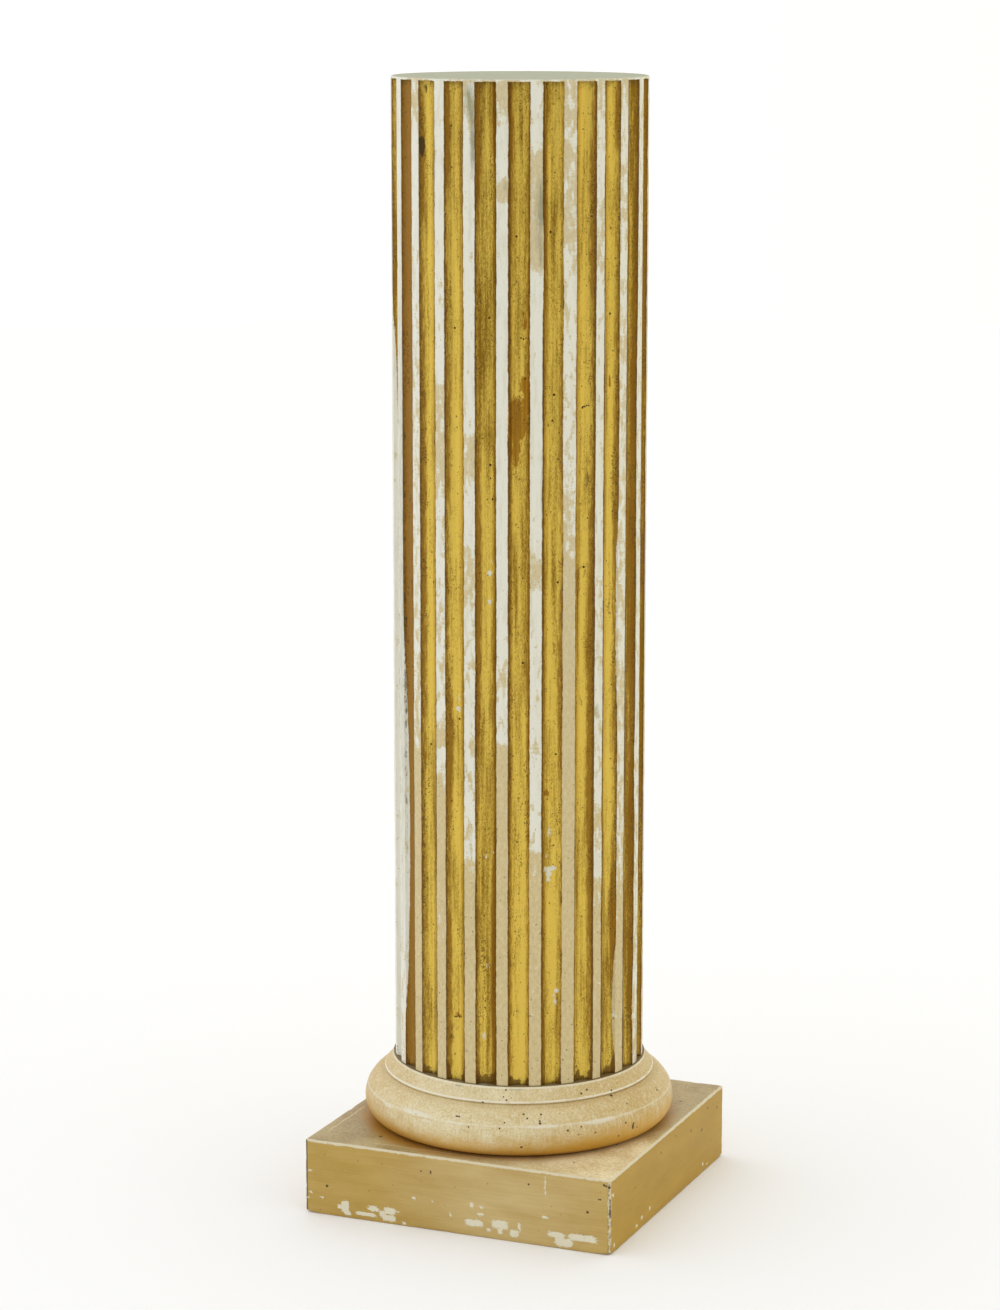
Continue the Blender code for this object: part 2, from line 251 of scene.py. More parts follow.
# Chips in the plinth's paint: side, distance along it, height, half width and half height in mm, and strength
PLINTH_CHIPS = (
    ("front", -121, 11.5, 5.0, 7.6, 1.3), ("front", -126, 10.4, 5.0, 2.8, 1.2),
    ("front", -118, 4.8, 4.6, 2.0, 1.1), ("front", -98, 6.6, 13.5, 2.7, 1.25),
    ("front", -90, 13.6, 8.0, 2.9, 1.2), ("front", -80, 10.0, 4.0, 3.4, 1.1),
    ("front", -72, 13.6, 7.6, 4.4, 1.3), ("front", -73, 5.8, 9.4, 3.4, 1.3),
    ("front", -62.8, 14.5, 2.2, 1.3, 1.1), ("front", -55.6, 2.7, 2.6, 1.6, 1.2),
    ("front", -45.3, 30.7, 2.4, 2.0, 1.2), ("front", -25.4, 30.3, 1.8, 1.2, 1.0),
    ("front", -5.4, 19.0, 2.0, 1.8, 1.3), ("front", -159.3, 22.2, 2.4, 2.0, 1.3),
    ("front", -162.7, 16.3, 1.8, 1.5, 1.2), ("front", -147.1, 18.5, 1.8, 1.6, 1.2),
    ("front", -160.5, 45.3, 3.0, 1.2, 1.1), ("front", 20, 13.9, 12, 4.5, 1.2),
    ("front", 18, 32.4, 2.5, 4, 1.0), ("front", 28, 31.2, 2, 3, 0.9), ("front", 27, 23.6, 5, 1.8, 1.1),
    ("front", 48, 16.0, 11, 5.5, 1.1), ("front", 48, 8.2, 3.5, 3.0, 1.1), ("front", 36, 9.5, 3, 2.6, 1.1),
    ("front", 63, 9.1, 6, 4.5, 1.2), ("front", 69, 16.3, 1.8, 6, 1.0), ("front", 96, 30.3, 4.5, 2.2, 1.2),
    ("front", 97, 62, 1.6, 13, 0.85), ("front", 116, 7.2, 11.5, 5.0, 1.25),
    ("front", 136, 14.2, 18, 4.4, 1.25), ("front", 108, 14.0, 11, 3.2, 1.2),
    ("right", -53.6, 13.4, 3.2, 2.4, 1.1), ("right", -77.2, 10.5, 3.2, 2.2, 1.1),
    ("right", -92, 6.7, 4, 2, 1.0), ("right", 103.7, 9.6, 3, 2.4, 1.1),
    ("right", 116.6, 5.5, 3, 2.0, 1.0), ("right", -153.8, 7.6, 3, 2.6, 1.1),
    ("right", -157.2, 60.2, 2.6, 2.4, 1.2), ("back", 60, 8, 12, 3.5, 1.2), ("back", -100, 12, 6, 4, 1.1),
    ("left", -70, 9, 9, 3.5, 1.2), ("left", 110, 14, 5, 3, 1.1), ("left", 30, 5, 4, 2.4, 1.1),
)
# Dots on the plinth: the place and the size in mm
PLINTH_DOTS = (
    (142.4, 97.0, 77.0, 1.5), (-98.4, -128.1, 77.0, 2.2), (-141.3, -165.0, 30.6, 1.5),
    (-26.9, -165.0, 61.0, 1.0), (-26.9, -165.0, 59.4, 0.9), (-37.4, -165.0, 60.1, 0.9),
    (78.6, -165.0, 62.0, 1.1), (141.0, -165.0, 41.8, 1.4), (152.8, -165.0, 56.5, 0.9),
    (154.6, -165.0, 56.6, 0.9), (158.3, -165.0, 71.7, 1.3), (160.6, -165.0, 71.0, 1.1),
    (163.6, -165.0, 70.0, 1.5), (165.0, -22.6, 61.2, 1.3), (165.0, 66.6, 57.0, 1.6),
    (165.0, 99.7, 47.9, 1.8), (165.0, 117.4, 66.6, 1.5), (165.0, 146.9, 58.4, 1.6),
    (165.0, 20.0, 66.0, 1.0), (165.0, -96.0, 48.0, 1.0), (112.0, -128.0, 77.0, 1.2),
    (131.0, -60.0, 77.0, 1.0), (-165.0, 60.0, 40.0, 1.4), (30.0, 165.0, 50.0, 1.4),
)
# How golden the torus is, by the angle away from its palest side, partly painted warm light on its sides:
# angle in degrees and share
PALEST_SIDE = -22
GOLDEN_AND_WARM_LIGHT_ROUND_TORUS = ((12, 0.0), (72, 1.15), (140, 0.5))
# How thick the dirt and painted shade lie on the plinth round the torus: angle in degrees and share
DIRT_AND_SHADE_ROUND_TORUS = (
    (-180, 0.6), (-120, 0.8), (-85, 0.95), (-45, 0.9), (-20, 0.6), (10, 0.5), (30, 0.25), (50, 0.2),
    (72, 0.6), (95, 0.9), (140, 0.7), (180, 0.6),
)
# How much painted light lies on the top of the plinth round the torus, most at the front right: angle in
# degrees and share
PAINTED_LIGHT_ROUND_TORUS = (
    (-180, 0.3), (-100, 0.05), (-60, 0.0), (-30, 0.2), (0, 0.55), (25, 0.9), (50, 0.95), (65, 0.4),
    (85, 0.1), (110, 0.0), (180, 0.3),
)


def turned_to(angle, radius, height=0.0):
    """A point at a polar angle and a distance round the column's axis."""
    return Vector((radius * math.cos(angle), radius * math.sin(angle), height))


def as_piece(name, shape, replaced):
    """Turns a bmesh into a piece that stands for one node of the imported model."""
    bmesh.ops.recalc_face_normals(shape, faces=shape.faces)
    mesh = bpy.data.meshes.new(name)
    shape.to_mesh(mesh)
    shape.free()
    mesh.shade_smooth()
    mesh.set_sharp_from_angle(angle=math.radians(40))
    piece = bpy.data.objects.new(name, mesh)
    bpy.context.scene.collection.objects.link(piece)
    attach(piece, "root")
    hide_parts(replaced)
    return piece


def rim_at(shape, height):
    """The open edges that lie at a height."""
    level = [edge for edge in shape.edges if edge.is_boundary]
    return [edge for edge in level if all(abs(point.co.z - height) < WELD for point in edge.verts)]


def extrude_rim(shape, edges):
    """Extrudes open edges where they are, and gives back the new points."""
    made = bmesh.ops.extrude_edge_only(shape, edges=edges)["geom"]
    return [part for part in made if isinstance(part, bmesh.types.BMVert)]


def close_inwards(shape, height, rings):
    """Closes a round opening with rings that shrink onto the axis."""
    for ring in range(1, rings + 1):
        points = extrude_rim(shape, rim_at(shape, height))
        share = 1 - 1 / (rings + 2 - ring)
        bmesh.ops.scale(shape, verts=points, vec=(share, share, 1.0))
    points = extrude_rim(shape, rim_at(shape, height))
    bmesh.ops.pointmerge(shape, verts=points, merge_co=(0.0, 0.0, height))


# Shaft

def draw_outline(shape):
    """One fillet and one flute of the shaft's outline, repeated round the axis."""
    half_angle = FLUTE_HALF_WIDTH / SHAFT_RADIUS
    half_chord = SHAFT_RADIUS * math.sin(half_angle)
    rise = FLUTE_DEPTH - SHAFT_RADIUS * (1 - math.cos(half_angle))
    hollow_radius = (half_chord ** 2 + rise ** 2) / (2 * rise)
    hollow_centre = turned_to(FLUTE_PITCH / 2, SHAFT_RADIUS - FLUTE_DEPTH + hollow_radius)
    hollow_sweep = 2 * math.asin(half_chord / hollow_radius)
    corner = shape.verts.new(turned_to(-FILLET_SWEEP / 2, SHAFT_RADIUS, SHAFT_FOOT))
    fillet = bmesh.ops.spin(shape, geom=[corner], cent=ORIGIN, axis=UP, angle=FILLET_SWEEP,
                            steps=FILLET_STEPS)
    arris = [part for part in fillet["geom_last"] if isinstance(part, bmesh.types.BMVert)]
    bmesh.ops.spin(shape, geom=arris, cent=hollow_centre, axis=UP, angle=-hollow_sweep, steps=FLUTE_STEPS)
    bmesh.ops.spin(shape, geom=shape.verts[:] + shape.edges[:], cent=ORIGIN, axis=UP,
                   angle=math.tau - FLUTE_PITCH, steps=FLUTE_COUNT - 1, use_duplicate=True)
    bmesh.ops.remove_doubles(shape, verts=shape.verts, dist=WELD)


def across_flute(point):
    """Distance round the shaft from the middle of the nearest flute."""
    turn = math.atan2(point.y, point.x) / FLUTE_PITCH
    return (turn - math.floor(turn) - 0.5) * FLUTE_PITCH * SHAFT_RADIUS


def weather_shaft(shape):
    """Old gesso isn't true: its face wanders, its arrises are knocked back and its lip runs in drips."""
    for vert in shape.verts:
        point = vert.co.copy()
        radius = math.hypot(point.x, point.y)
        if radius < SHAFT_RADIUS - 1.2 * FLUTE_DEPTH:
            vert.co.z -= TOP_WANDER * (1 + noise.noise(point * 25)) * (point.z > SHAFT_FOOT + 1 * MM)
            continue
        inwards = SHAFT_WANDER * (1 + noise.noise(Vector((point.x * 30, point.y * 30, point.z * 12))))
        from_arris = abs(abs(across_flute(point)) - FLUTE_HALF_WIDTH)
        if from_arris < 1.3 * MM and point.z < LIP_UNDERSIDE - 2 * MM:
            knock = noise.noise(point * 95) + 0.6 * noise.noise(point * 31)
            inwards += SHAFT_KNOCK * max(0.0, knock - 0.22)
        if abs(point.z - LIP_UNDERSIDE) < WELD:
            vert.co.z += LIP_DRIP * noise.noise(Vector((point.x * 130, point.y * 130, 3.0)))
        vert.co.x -= point.x / radius * inwards
        vert.co.y -= point.y / radius * inwards


def make_shaft():
    shape = bmesh.new()
    draw_outline(shape)
    raised = extrude_rim(shape, shape.edges[:])
    bmesh.ops.translate(shape, verts=raised, vec=(0.0, 0.0, LIP_UNDERSIDE - SHAFT_FOOT))
    upright = [edge for edge in shape.edges if abs(edge.verts[0].co.z - edge.verts[1].co.z) > WELD]
    bmesh.ops.subdivide_edges(shape, edges=upright, cuts=SHAFT_ROWS - 1, use_grid_fill=True)
    for point in extrude_rim(shape, rim_at(shape, LIP_UNDERSIDE)):
        point.co.xy *= SHAFT_RADIUS / point.co.xy.length
    bmesh.ops.remove_doubles(shape, verts=shape.verts, dist=WELD)
    lip = extrude_rim(shape, rim_at(shape, LIP_UNDERSIDE))
    bmesh.ops.translate(shape, verts=lip, vec=(0.0, 0.0, TOP_LIP_HEIGHT))
    top_rim = rim_at(shape, SHAFT_TOP)
    close_inwards(shape, SHAFT_TOP, TOP_RINGS)
    close_inwards(shape, SHAFT_FOOT, 1)
    bmesh.ops.bevel(shape, geom=top_rim, offset=TOP_ARRIS_ROUND, segments=3, profile=0.5, affect="EDGES",
                    material=-1)
    weather_shaft(shape)
    return as_piece("painted_fluted_shaft", shape, "fluted_shaft")


# Base moulding

def run_arc(shape, start, centre, angle, steps):
    """Draws an arc in the turning plane from a point; a positive angle runs outwards and down."""
    centre_point = (centre[0], 0.0, centre[1])
    arc = bmesh.ops.spin(shape, geom=[start], cent=centre_point, axis=(0.0, 1.0, 0.0), angle=angle,
                         steps=steps)
    return [part for part in arc["geom_last"] if isinstance(part, bmesh.types.BMVert)][0]


def run_line(shape, start, radius, height, steps=1):
    """Draws a straight line in the turning plane from a point."""
    from_point, place = start.co.copy(), start
    for step in range(1, steps + 1):
        following = shape.verts.new(from_point.lerp((radius, 0.0, height), step / steps))
        shape.edges.new((place, following))
        place = following
    return place


def draw_moulding_profile(shape):
    """From the middle of the top, down the cove, bead, quirk and torus, to the middle of the underside."""
    quirk_radius = RING_FOOT_RADIUS - QUIRK_DEPTH
    cove_foot = MOULDING_TOP - COVE_HEIGHT
    bead_underside = cove_foot - BEAD_HEIGHT
    belly = MOULDING_FOOT + TORUS_UNDERSIDE_ROUND
    shoulder_top = belly + TORUS_SHOULDER_HEIGHT
    cove_run = RING_FOOT_RADIUS - RING_TOP_RADIUS
    chord = math.hypot(cove_run, COVE_HEIGHT)
    cove_round = (chord ** 2 / 4 + COVE_HOLLOW ** 2) / (2 * COVE_HOLLOW)
    reach = (cove_round - COVE_HOLLOW) / chord
    cove_centre = ((RING_TOP_RADIUS + RING_FOOT_RADIUS) / 2 + COVE_HEIGHT * reach,
                   (MOULDING_TOP + cove_foot) / 2 + cove_run * reach)
    shoulder_drop = TORUS_RADIUS - quirk_radius
    shoulder_round = (TORUS_SHOULDER_HEIGHT ** 2 + shoulder_drop ** 2) / (2 * shoulder_drop)
    shoulder_sweep = math.atan2(TORUS_SHOULDER_HEIGHT, shoulder_round - shoulder_drop)

    place = shape.verts.new((0.0, 0.0, MOULDING_TOP))
    place = run_line(shape, place, SHAFT_RADIUS - 8 * MM, MOULDING_TOP, 3)
    place = run_line(shape, place, RING_TOP_RADIUS, MOULDING_TOP, 4)
    place = run_arc(shape, place, cove_centre, -2 * math.asin(chord / 2 / cove_round), 8)
    place = run_line(shape, place, RING_FOOT_RADIUS, bead_underside)
    place = run_line(shape, place, quirk_radius, shoulder_top)
    place = run_arc(shape, place, (TORUS_RADIUS - shoulder_round, belly), shoulder_sweep, 26)
    place = run_arc(shape, place, (TORUS_RADIUS - TORUS_UNDERSIDE_ROUND, belly), math.pi / 2, 14)
    run_line(shape, place, 0.0, MOULDING_FOOT, 4)


def weather_moulding(shape):
    """The turning's softer places, nicks along its bead, and the low ridge that was left on the torus."""
    for vert in shape.verts:
        point = vert.co.copy()
        radius = math.hypot(point.x, point.y)
        if radius < SHAFT_RADIUS:
            continue
        outwards = -MOULDING_WANDER * (1 + noise.noise(point * 45))
        if radius < RING_FOOT_RADIUS + 0.5 * MM and point.z > MOULDING_TOP - COVE_HEIGHT - 2 * MM:
            outwards -= BEAD_NICK * max(0.0, noise.noise(point * 120) - 0.25)
        outwards += RIDGE_RISE * math.exp(-((point.z - RIDGE_HEIGHT) / (1.8 * MM)) ** 2)
        if radius > TORUS_RADIUS - 0.5 * MM:
            outwards = min(outwards, 0.0)
        vert.co.x += point.x / radius * outwards
        vert.co.y += point.y / radius * outwards


def make_moulding():
    shape = bmesh.new()
    draw_moulding_profile(shape)
    bmesh.ops.spin(shape, geom=shape.verts[:] + shape.edges[:], cent=ORIGIN, axis=UP, angle=math.tau,
                   steps=MOULDING_STEPS, use_merge=True)
    bmesh.ops.remove_doubles(shape, verts=shape.verts, dist=WELD)
    arris_heights = (MOULDING_TOP, MOULDING_TOP - COVE_HEIGHT, MOULDING_TOP - COVE_HEIGHT - BEAD_HEIGHT)
    arrises = []
    for edge in shape.edges:
        first, second = edge.verts
        level = abs(first.co.z - second.co.z) < WELD
        sharp = len(edge.link_faces) == 2 and edge.calc_face_angle() > math.radians(30)
        if level and sharp and any(abs(first.co.z - height) < WELD for height in arris_heights):
            if first.co.xy.length > RING_TOP_RADIUS - WELD:
                arrises.append(edge)
    bmesh.ops.bevel(shape, geom=arrises, offset=MOULDING_ARRIS_ROUND, segments=2, profile=0.5, affect="EDGES",
                    material=-1)
    weather_moulding(shape)
    return as_piece("painted_base_moulding", shape, "base_moulding")


# Plinth

def weather_plinth(shape):
    """Knocked arrises, and corners that are rubbed away underneath."""
    half = PLINTH_SIDE / 2
    for vert in shape.verts:
        point = vert.co.copy()
        from_sides = half - abs(point.x), half - abs(point.y)
        from_ends = PLINTH_TOP - point.z, point.z
        nearest = sorted([*from_sides, *from_ends])
        if nearest[1] < PLINTH_KNOCK_REACH:
            knock = noise.noise(point * 70) + 0.5 * noise.noise(point * 210)
            depth = PLINTH_KNOCK * max(0.0, knock - 0.1)
            vert.co.x -= math.copysign(depth, point.x) * (from_sides[0] < PLINTH_KNOCK_REACH)
            vert.co.y -= math.copysign(depth, point.y) * (from_sides[1] < PLINTH_KNOCK_REACH)
            vert.co.z += depth * (from_ends[1] < PLINTH_KNOCK_REACH)
            vert.co.z -= depth * (from_ends[0] < PLINTH_KNOCK_REACH)
        from_corner = math.hypot(*from_sides)
        if point.z < CORNER_WEAR_HEIGHT and from_corner < CORNER_WEAR_REACH:
            worn = (1 - from_corner / CORNER_WEAR_REACH) ** 1.5 * (1 - point.z / CORNER_WEAR_HEIGHT)
            vert.co.z += CORNER_WEAR_LIFT * worn


def make_plinth():
    shape = bmesh.new()
    bmesh.ops.create_cube(shape, size=1.0)
    bmesh.ops.scale(shape, verts=shape.verts, vec=(PLINTH_SIDE, PLINTH_SIDE, PLINTH_TOP))
    bmesh.ops.translate(shape, verts=shape.verts, vec=(0.0, 0.0, PLINTH_TOP / 2))
    bmesh.ops.bevel(shape, geom=shape.edges[:], offset=PLINTH_ARRIS_ROUND, segments=3, profile=0.5,
                    affect="EDGES", material=-1)
    for axis, length in enumerate((PLINTH_SIDE, PLINTH_SIDE, PLINTH_TOP)):
        along = [edge for edge in shape.edges
                 if abs(edge.verts[0].co[axis] - edge.verts[1].co[axis]) > length / 2]
        bmesh.ops.subdivide_edges(shape, edges=along, cuts=round(length / PLINTH_CELL), use_grid_fill=True)
    weather_plinth(shape)
    return as_piece("painted_plinth", shape, "plinth")


# Materials

def paint(hex_code):
    """An sRGB colour, written as RRGGBB, as a linear colour."""
    linear = []
    for start in (0, 2, 4):
        value = int(hex_code[start:start + 2], 16) / 255
        linear.append(value / 12.92 if value <= 0.04045 else ((value + 0.055) / 1.055) ** 2.4)
    return (*linear, 1.0)


def add(tree, kind, links=None, **settings):
    """Adds a node. links fills its inputs, by name or number, with values or with other nodes."""
    node = tree.nodes.new("ShaderNode" + kind)
    for name, value in settings.items():
        setattr(node, name, value)
    for socket, value in (links or {}).items():
        if isinstance(value, bpy.types.Node):
            value = next(output for output in value.outputs if output.enabled)
        if isinstance(value, bpy.types.NodeSocket):
            tree.links.new(value, node.inputs[socket])
        else:
            node.inputs[socket].default_value = value
    return node


def new_material(name, piece):
    """An empty material on a piece, and its shader."""
    material = bpy.data.materials.new(name)
    material.use_nodes = True
    piece.data.materials.clear()
    piece.data.materials.append(material)
    return material.node_tree, material.node_tree.nodes["Principled BSDF"]


def marked(tree, piece, name, value_at):
    """Stores a number at every point of a piece by name, and gives the node output that reads it."""
    layer = piece.data.attributes.new(name, "FLOAT", "POINT")
    layer.data.foreach_set("value", [value_at(point.co) for point in piece.data.vertices])
    return add(tree, "Attribute", attribute_name=name).outputs["Fac"]


def seen_from_front(point):
    """The angle of a point round the column, to the right of the camera, from -180 to 180 degrees."""
    return (math.degrees(math.atan2(point.y, point.x)) - FRONT_ANGLE + 180) % 360 - 180


def between(steps, place):
    """The value at a place on a broken line, which is given by its corners in rising order."""
    for (low, low_value), (high, high_value) in zip(steps, steps[1:]):
        if place <= high:
            share = min(max((place - low) / (high - low), 0.0), 1.0)
            return low_value + (high_value - low_value) * share
    return steps[-1][1]


def column_spots(point, spots):
    """The strongest of the upright ovals that a point of the column lies in, 0 outside them all."""
    seen_at = seen_from_front(point)
    height = point.z / MM
    strongest = 0.0
    for angle, middle, half_width, half_height, strength in spots:
        if abs(height - middle) < half_height:
            turn = (seen_at - angle + 180) % 360 - 180
            across = math.radians(turn) * SHAFT_RADIUS / MM
            inside = 1 - (across / half_width) ** 2 - ((height - middle) / half_height) ** 2
            strongest = max(strongest, strength * inside)
    return strongest


def bare_gesso(point):
    """How likely the gesso is to show through the cream coat of the nearest fillet, from 0 to 1."""
    fillet = round(math.atan2(point.y, point.x) / FLUTE_PITCH) % FLUTE_COUNT
    stretches = BARE_STRETCHES.get(fillet)
    if stretches is None:
        change = HIDDEN_CHANGE_HEIGHT + HIDDEN_CHANGE_SPREAD * noise.noise(Vector((fillet * 3.7, 1.0, 0.0)))
        stretches = ((SHAFT_TOP / MM, 0.55), (change + 60, 0.75), (change, 0.5), (change - 40, -0.1),
                     (0, -0.3))
    height = point.z / MM
    upper = stretches[0]
    for lower in stretches:
        if height >= lower[0]:
            share = (height - lower[0]) / max(upper[0] - lower[0], 0.001)
            return lower[1] + (upper[1] - lower[1]) * min(share, 1.0)
        upper = lower
    return upper[1]


def flute_tone(point):
    """How much of the light bronze shows in the nearest flute."""
    flute = math.floor(math.atan2(point.y, point.x) / FLUTE_PITCH) % FLUTE_COUNT
    hidden_tone = 0.45 + 0.5 * noise.noise(Vector((flute * 5.3, 0.0, 2.0)))
    at_top, in_middle, at_foot = FLUTE_TONES.get(flute, (hidden_tone, hidden_tone, hidden_tone))
    middle = (SHAFT_FOOT + SHAFT_TOP) / 2
    return between(((SHAFT_FOOT, at_foot), (middle, in_middle), (SHAFT_TOP, at_top)), point.z)


def edge_shift(point):
    """How far the nearest fillet's painted edge lies outside the usual place, in mm."""
    turn = math.atan2(point.y, point.x) / FLUTE_PITCH
    fillet = round(turn)
    left_lap, right_lap = EDGE_LAPS.get(fillet % FLUTE_COUNT, EDGE_LAPS["hidden"])
    return column_spots(point, SLOP_SPOTS) - (left_lap if turn < fillet else right_lap)


def dot_mask(tree, position, dots, ragged=None, softness=0.25 * MM):
    """1 inside any of the dots, which are given by their centre and their radius, and 0 outside them.

    The noise in ragged, if there is one, eats up to a few mm into their outline or swells it.
    """
    nearest = 1.0
    for centre, size in dots:
        away = add(tree, "VectorMath", {0: position, 1: centre}, operation="DISTANCE").outputs["Value"]
        outside = add(tree, "Math", {0: away, 1: size}, operation="SUBTRACT")
        nearest = add(tree, "Math", {0: nearest, 1: outside}, operation="MINIMUM")
    if ragged is not None:
        eaten = add(tree, "Math", {0: ragged, 1: 7 * MM, 2: -3.5 * MM}, operation="MULTIPLY_ADD")
        nearest = add(tree, "Math", {0: nearest, 1: eaten}, operation="ADD")
    return add(tree, "MapRange", {"Value": nearest, "From Min": -softness, "From Max": softness,
                                  "To Min": 1.0, "To Max": 0.0})


def dots_round(dots):
    """Centres and radii of dots that are given by angle, height, distance from the axis and size in mm."""
    return [(turned_to(math.radians(angle + FRONT_ANGLE), radius * MM, height * MM), size * MM)
            for angle, height, radius, size in dots]


def dots_on_shaft(dots):
    """Centres and radii of dots on the fillets or in the flutes, given by angle, height and size in mm."""
    placed = []
    for angle, height, size in dots:
        off_middle = across_flute(turned_to(math.radians(angle + FRONT_ANGLE), 1.0)) / FLUTE_HALF_WIDTH
        sunk = FLUTE_DEPTH * max(0.0, 1 - off_middle ** 2)
        placed.append((angle, height, (SHAFT_RADIUS - sunk) / MM, size))
    return dots_round(placed)


def grain(tree, position, across, upright, detail=3.0, roughness=0.55):
    """Noise whose blotches are about so many mm wide and high."""
    scale = (1 / across, 1 / across, 1 / upright)
    stretched = add(tree, "Mapping", {"Vector": position, "Scale": scale}, vector_type="POINT")
    links = {"Vector": stretched, "Scale": 1 / MM, "Detail": detail, "Roughness": roughness}
    return add(tree, "TexNoise", links).outputs[0]


def worn_mask(tree, ragged, amount, level, low, high, strength=1.0):
    """A mask with a ragged outline: 0 where a level raised by noise is under low, and full from high up."""
    raised = add(tree, "Math", {0: ragged, 1: amount, 2: level}, operation="MULTIPLY_ADD")
    return add(tree, "MapRange", {"Value": raised, "From Min": low, "From Max": high,
                                  "To Min": 0.0, "To Max": strength})


def band_mask(tree, value, middle, core, edge, strength=1.0, **settings):
    """A mask that is full within the distance core of a middle value, and 0 beyond the distance edge."""
    off = add(tree, "Math", {0: value, 1: middle}, operation="SUBTRACT")
    near = add(tree, "Math", {0: off}, operation="ABSOLUTE")
    return add(tree, "MapRange", {"Value": near, "From Min": core, "From Max": edge,
                                  "To Min": strength, "To Max": 0.0}, **settings)


def speck_mask(tree, position, spread, density, growth, least, softness, strength):
    """Small specks, one to a cell of a Voronoi pattern, which are larger in some places than in others."""
    size = grain(tree, position, spread, spread, detail=1.0)
    cells = add(tree, "TexVoronoi", {"Vector": position, "Scale": density, "Randomness": 1.0})
    edge = add(tree, "Math", {0: size, 1: growth, 2: least}, operation="MULTIPLY_ADD")
    depth = add(tree, "Math", {0: edge, 1: cells.outputs["Distance"]}, operation="SUBTRACT")
    return add(tree, "MapRange", {"Value": depth, "From Min": 0.0, "From Max": softness,
                                  "To Min": 0.0, "To Max": strength})


def coats(tree, under, *layers):
    """Colours laid over each other in turn, each as far as its mask lets it show.

    A colour is an sRGB hex value or a node, and so is the first one, which lies under them all.
    """
    under = paint(under) if isinstance(under, str) else under
    for mask, colour in layers:
        over = paint(colour) if isinstance(colour, str) else colour
        under = add(tree, "Mix", {0: mask, 6: under, 7: over}, data_type="RGBA")
    return under


def bronze_flutes(tree, position, height, distance, marks, grains):
    """The flutes' colour: bronze over brown size, with wear, cracks and dirt, painted shade along the edges,
    dirt and painted shade at the foot and under the lip, and chalk dropped on it.
    """
    bronze_share = marks["flute_tone"]
    clouds = grain(tree, position, 9, 90, detail=5.0, roughness=0.62)
    for swing, amount, less in ((grains["streaks"], 1.9, 0.91), (clouds, 2.6, 1.19),
                                (grains["powder"], 1.9, 0.95)):
        swung = add(tree, "Math", {0: swing, 1: amount, 2: -less}, operation="MULTIPLY_ADD")
        bronze_share = add(tree, "Math", {0: bronze_share, 1: swung}, operation="ADD")
    bronze = coats(tree, "8A6606", (bronze_share, "E1C152"))

    # Where hardly any bronze is left, the brown size shows
    sized = add(tree, "MapRange", {"Value": marks["flute_tone"], "From Min": -0.65, "From Max": -0.25,
                                   "To Min": 0.75, "To Max": 0.0})
    size_brown = coats(tree, "7E561A", (grains["powder"], "B58844"))

    # Brown painted along the edges of the flute as the shade in its corners, ragged and speckled, and a dark
    # line beside the fillet
    edge_ragged = grain(tree, position, 2.2, 14, detail=5.0, roughness=0.7)
    edge_shade_place = add(tree, "Math", {0: marks["edge_shade_spread"], 1: distance}, operation="ADD")
    painted_edge_shade = worn_mask(tree, edge_ragged, 14.0, edge_shade_place, 13.4, 18.0, 0.85)
    line_ragged = grain(tree, position, 1.5, 5, detail=4.0, roughness=0.7)
    edge_line = worn_mask(tree, line_ragged, 5.0, distance, 11.6, 12.7, 0.8)

    # Red-brown bole where the bronze has worn through, in patches with a hard edge
    bole_mask = worn_mask(tree, grains["patchy"], 2.2, marks["bole"], 1.55, 1.8, 0.9)
    bole_share = add(tree, "MapRange", {"Value": grains["streaks"], "From Min": 0.35, "From Max": 0.65})
    bole_colour = coats(tree, "7C4E02", (bole_share, "AA7808"))

    # Cracks across the bronze, drawn about 0.5 mm wide where real ones are finer
    crack_lines = grain(tree, position, 9, 1.9, detail=3.0)
    crack_thin = band_mask(tree, crack_lines, 0.5, 0.006, 0.018)
    crack_where = grain(tree, position, 16, 26, detail=2.0)
    crack_area = add(tree, "MapRange", {"Value": crack_where, "From Min": 0.6, "From Max": 0.68,
                                        "To Min": 0.0, "To Max": 0.6})
    crack_mask = add(tree, "Math", {0: crack_thin, 1: crack_area}, operation="MULTIPLY")

    # Dirt and painted shade in the foot of each flute stand higher in its corners, and some dirt and painted
    # shade hang under the lip
    corner_rise = add(tree, "Math", {0: distance, 1: 10.0}, operation="DIVIDE")
    corner_curve = add(tree, "Math", {0: corner_rise, 1: 3.0}, operation="POWER")
    foot_ragged = grain(tree, position, 5, 4, detail=5.0, roughness=0.7)
    foot_drift = grain(tree, position, 16, 60, detail=2.0)
    above_foot = add(tree, "Math", {0: height, 1: 1 / MM, 2: -SHAFT_FOOT / MM}, operation="MULTIPLY_ADD")
    foot_dark_drift = add(tree, "Math", {0: foot_drift, 1: 70.0, 2: -42.5}, operation="MULTIPLY_ADD")
    foot_dark_top = add(tree, "Math", {0: corner_curve, 1: 13.0, 2: foot_dark_drift}, operation="MULTIPLY_ADD")
    foot_dark_depth = add(tree, "Math", {0: foot_dark_top, 1: above_foot}, operation="SUBTRACT")
    foot_dirt_and_shade = worn_mask(tree, foot_ragged, 22.0, foot_dark_depth, 0.0, 2.5, 0.82)
    head_dirt_and_shade = worn_mask(tree, foot_ragged, 24 * MM, height, SHAFT_TOP + 3 * MM, SHAFT_TOP + 12 * MM, 0.65)

    chalk_mask = worn_mask(tree, grains["patchy"], 1.1, marks["chalk"], 1.05, 1.25, 0.9)
    flake_ragged = grain(tree, position, 2.4, 2.4, detail=3.0, roughness=0.6)
    flakes = dot_mask(tree, position, dots_on_shaft(CHALK_FLAKES), ragged=flake_ragged)
    chalky = add(tree, "Math", {0: chalk_mask, 1: flakes}, operation="MAXIMUM")
    return coats(tree, bronze, (sized, size_brown), (painted_edge_shade, "8A5E04"), (edge_line, "5A3C08"),
                 (bole_mask, bole_colour), (crack_mask, "5A3E10"), (foot_dirt_and_shade, "624006"),
                 (head_dirt_and_shade, "5C4412"), (chalky, "D9D6C0"))


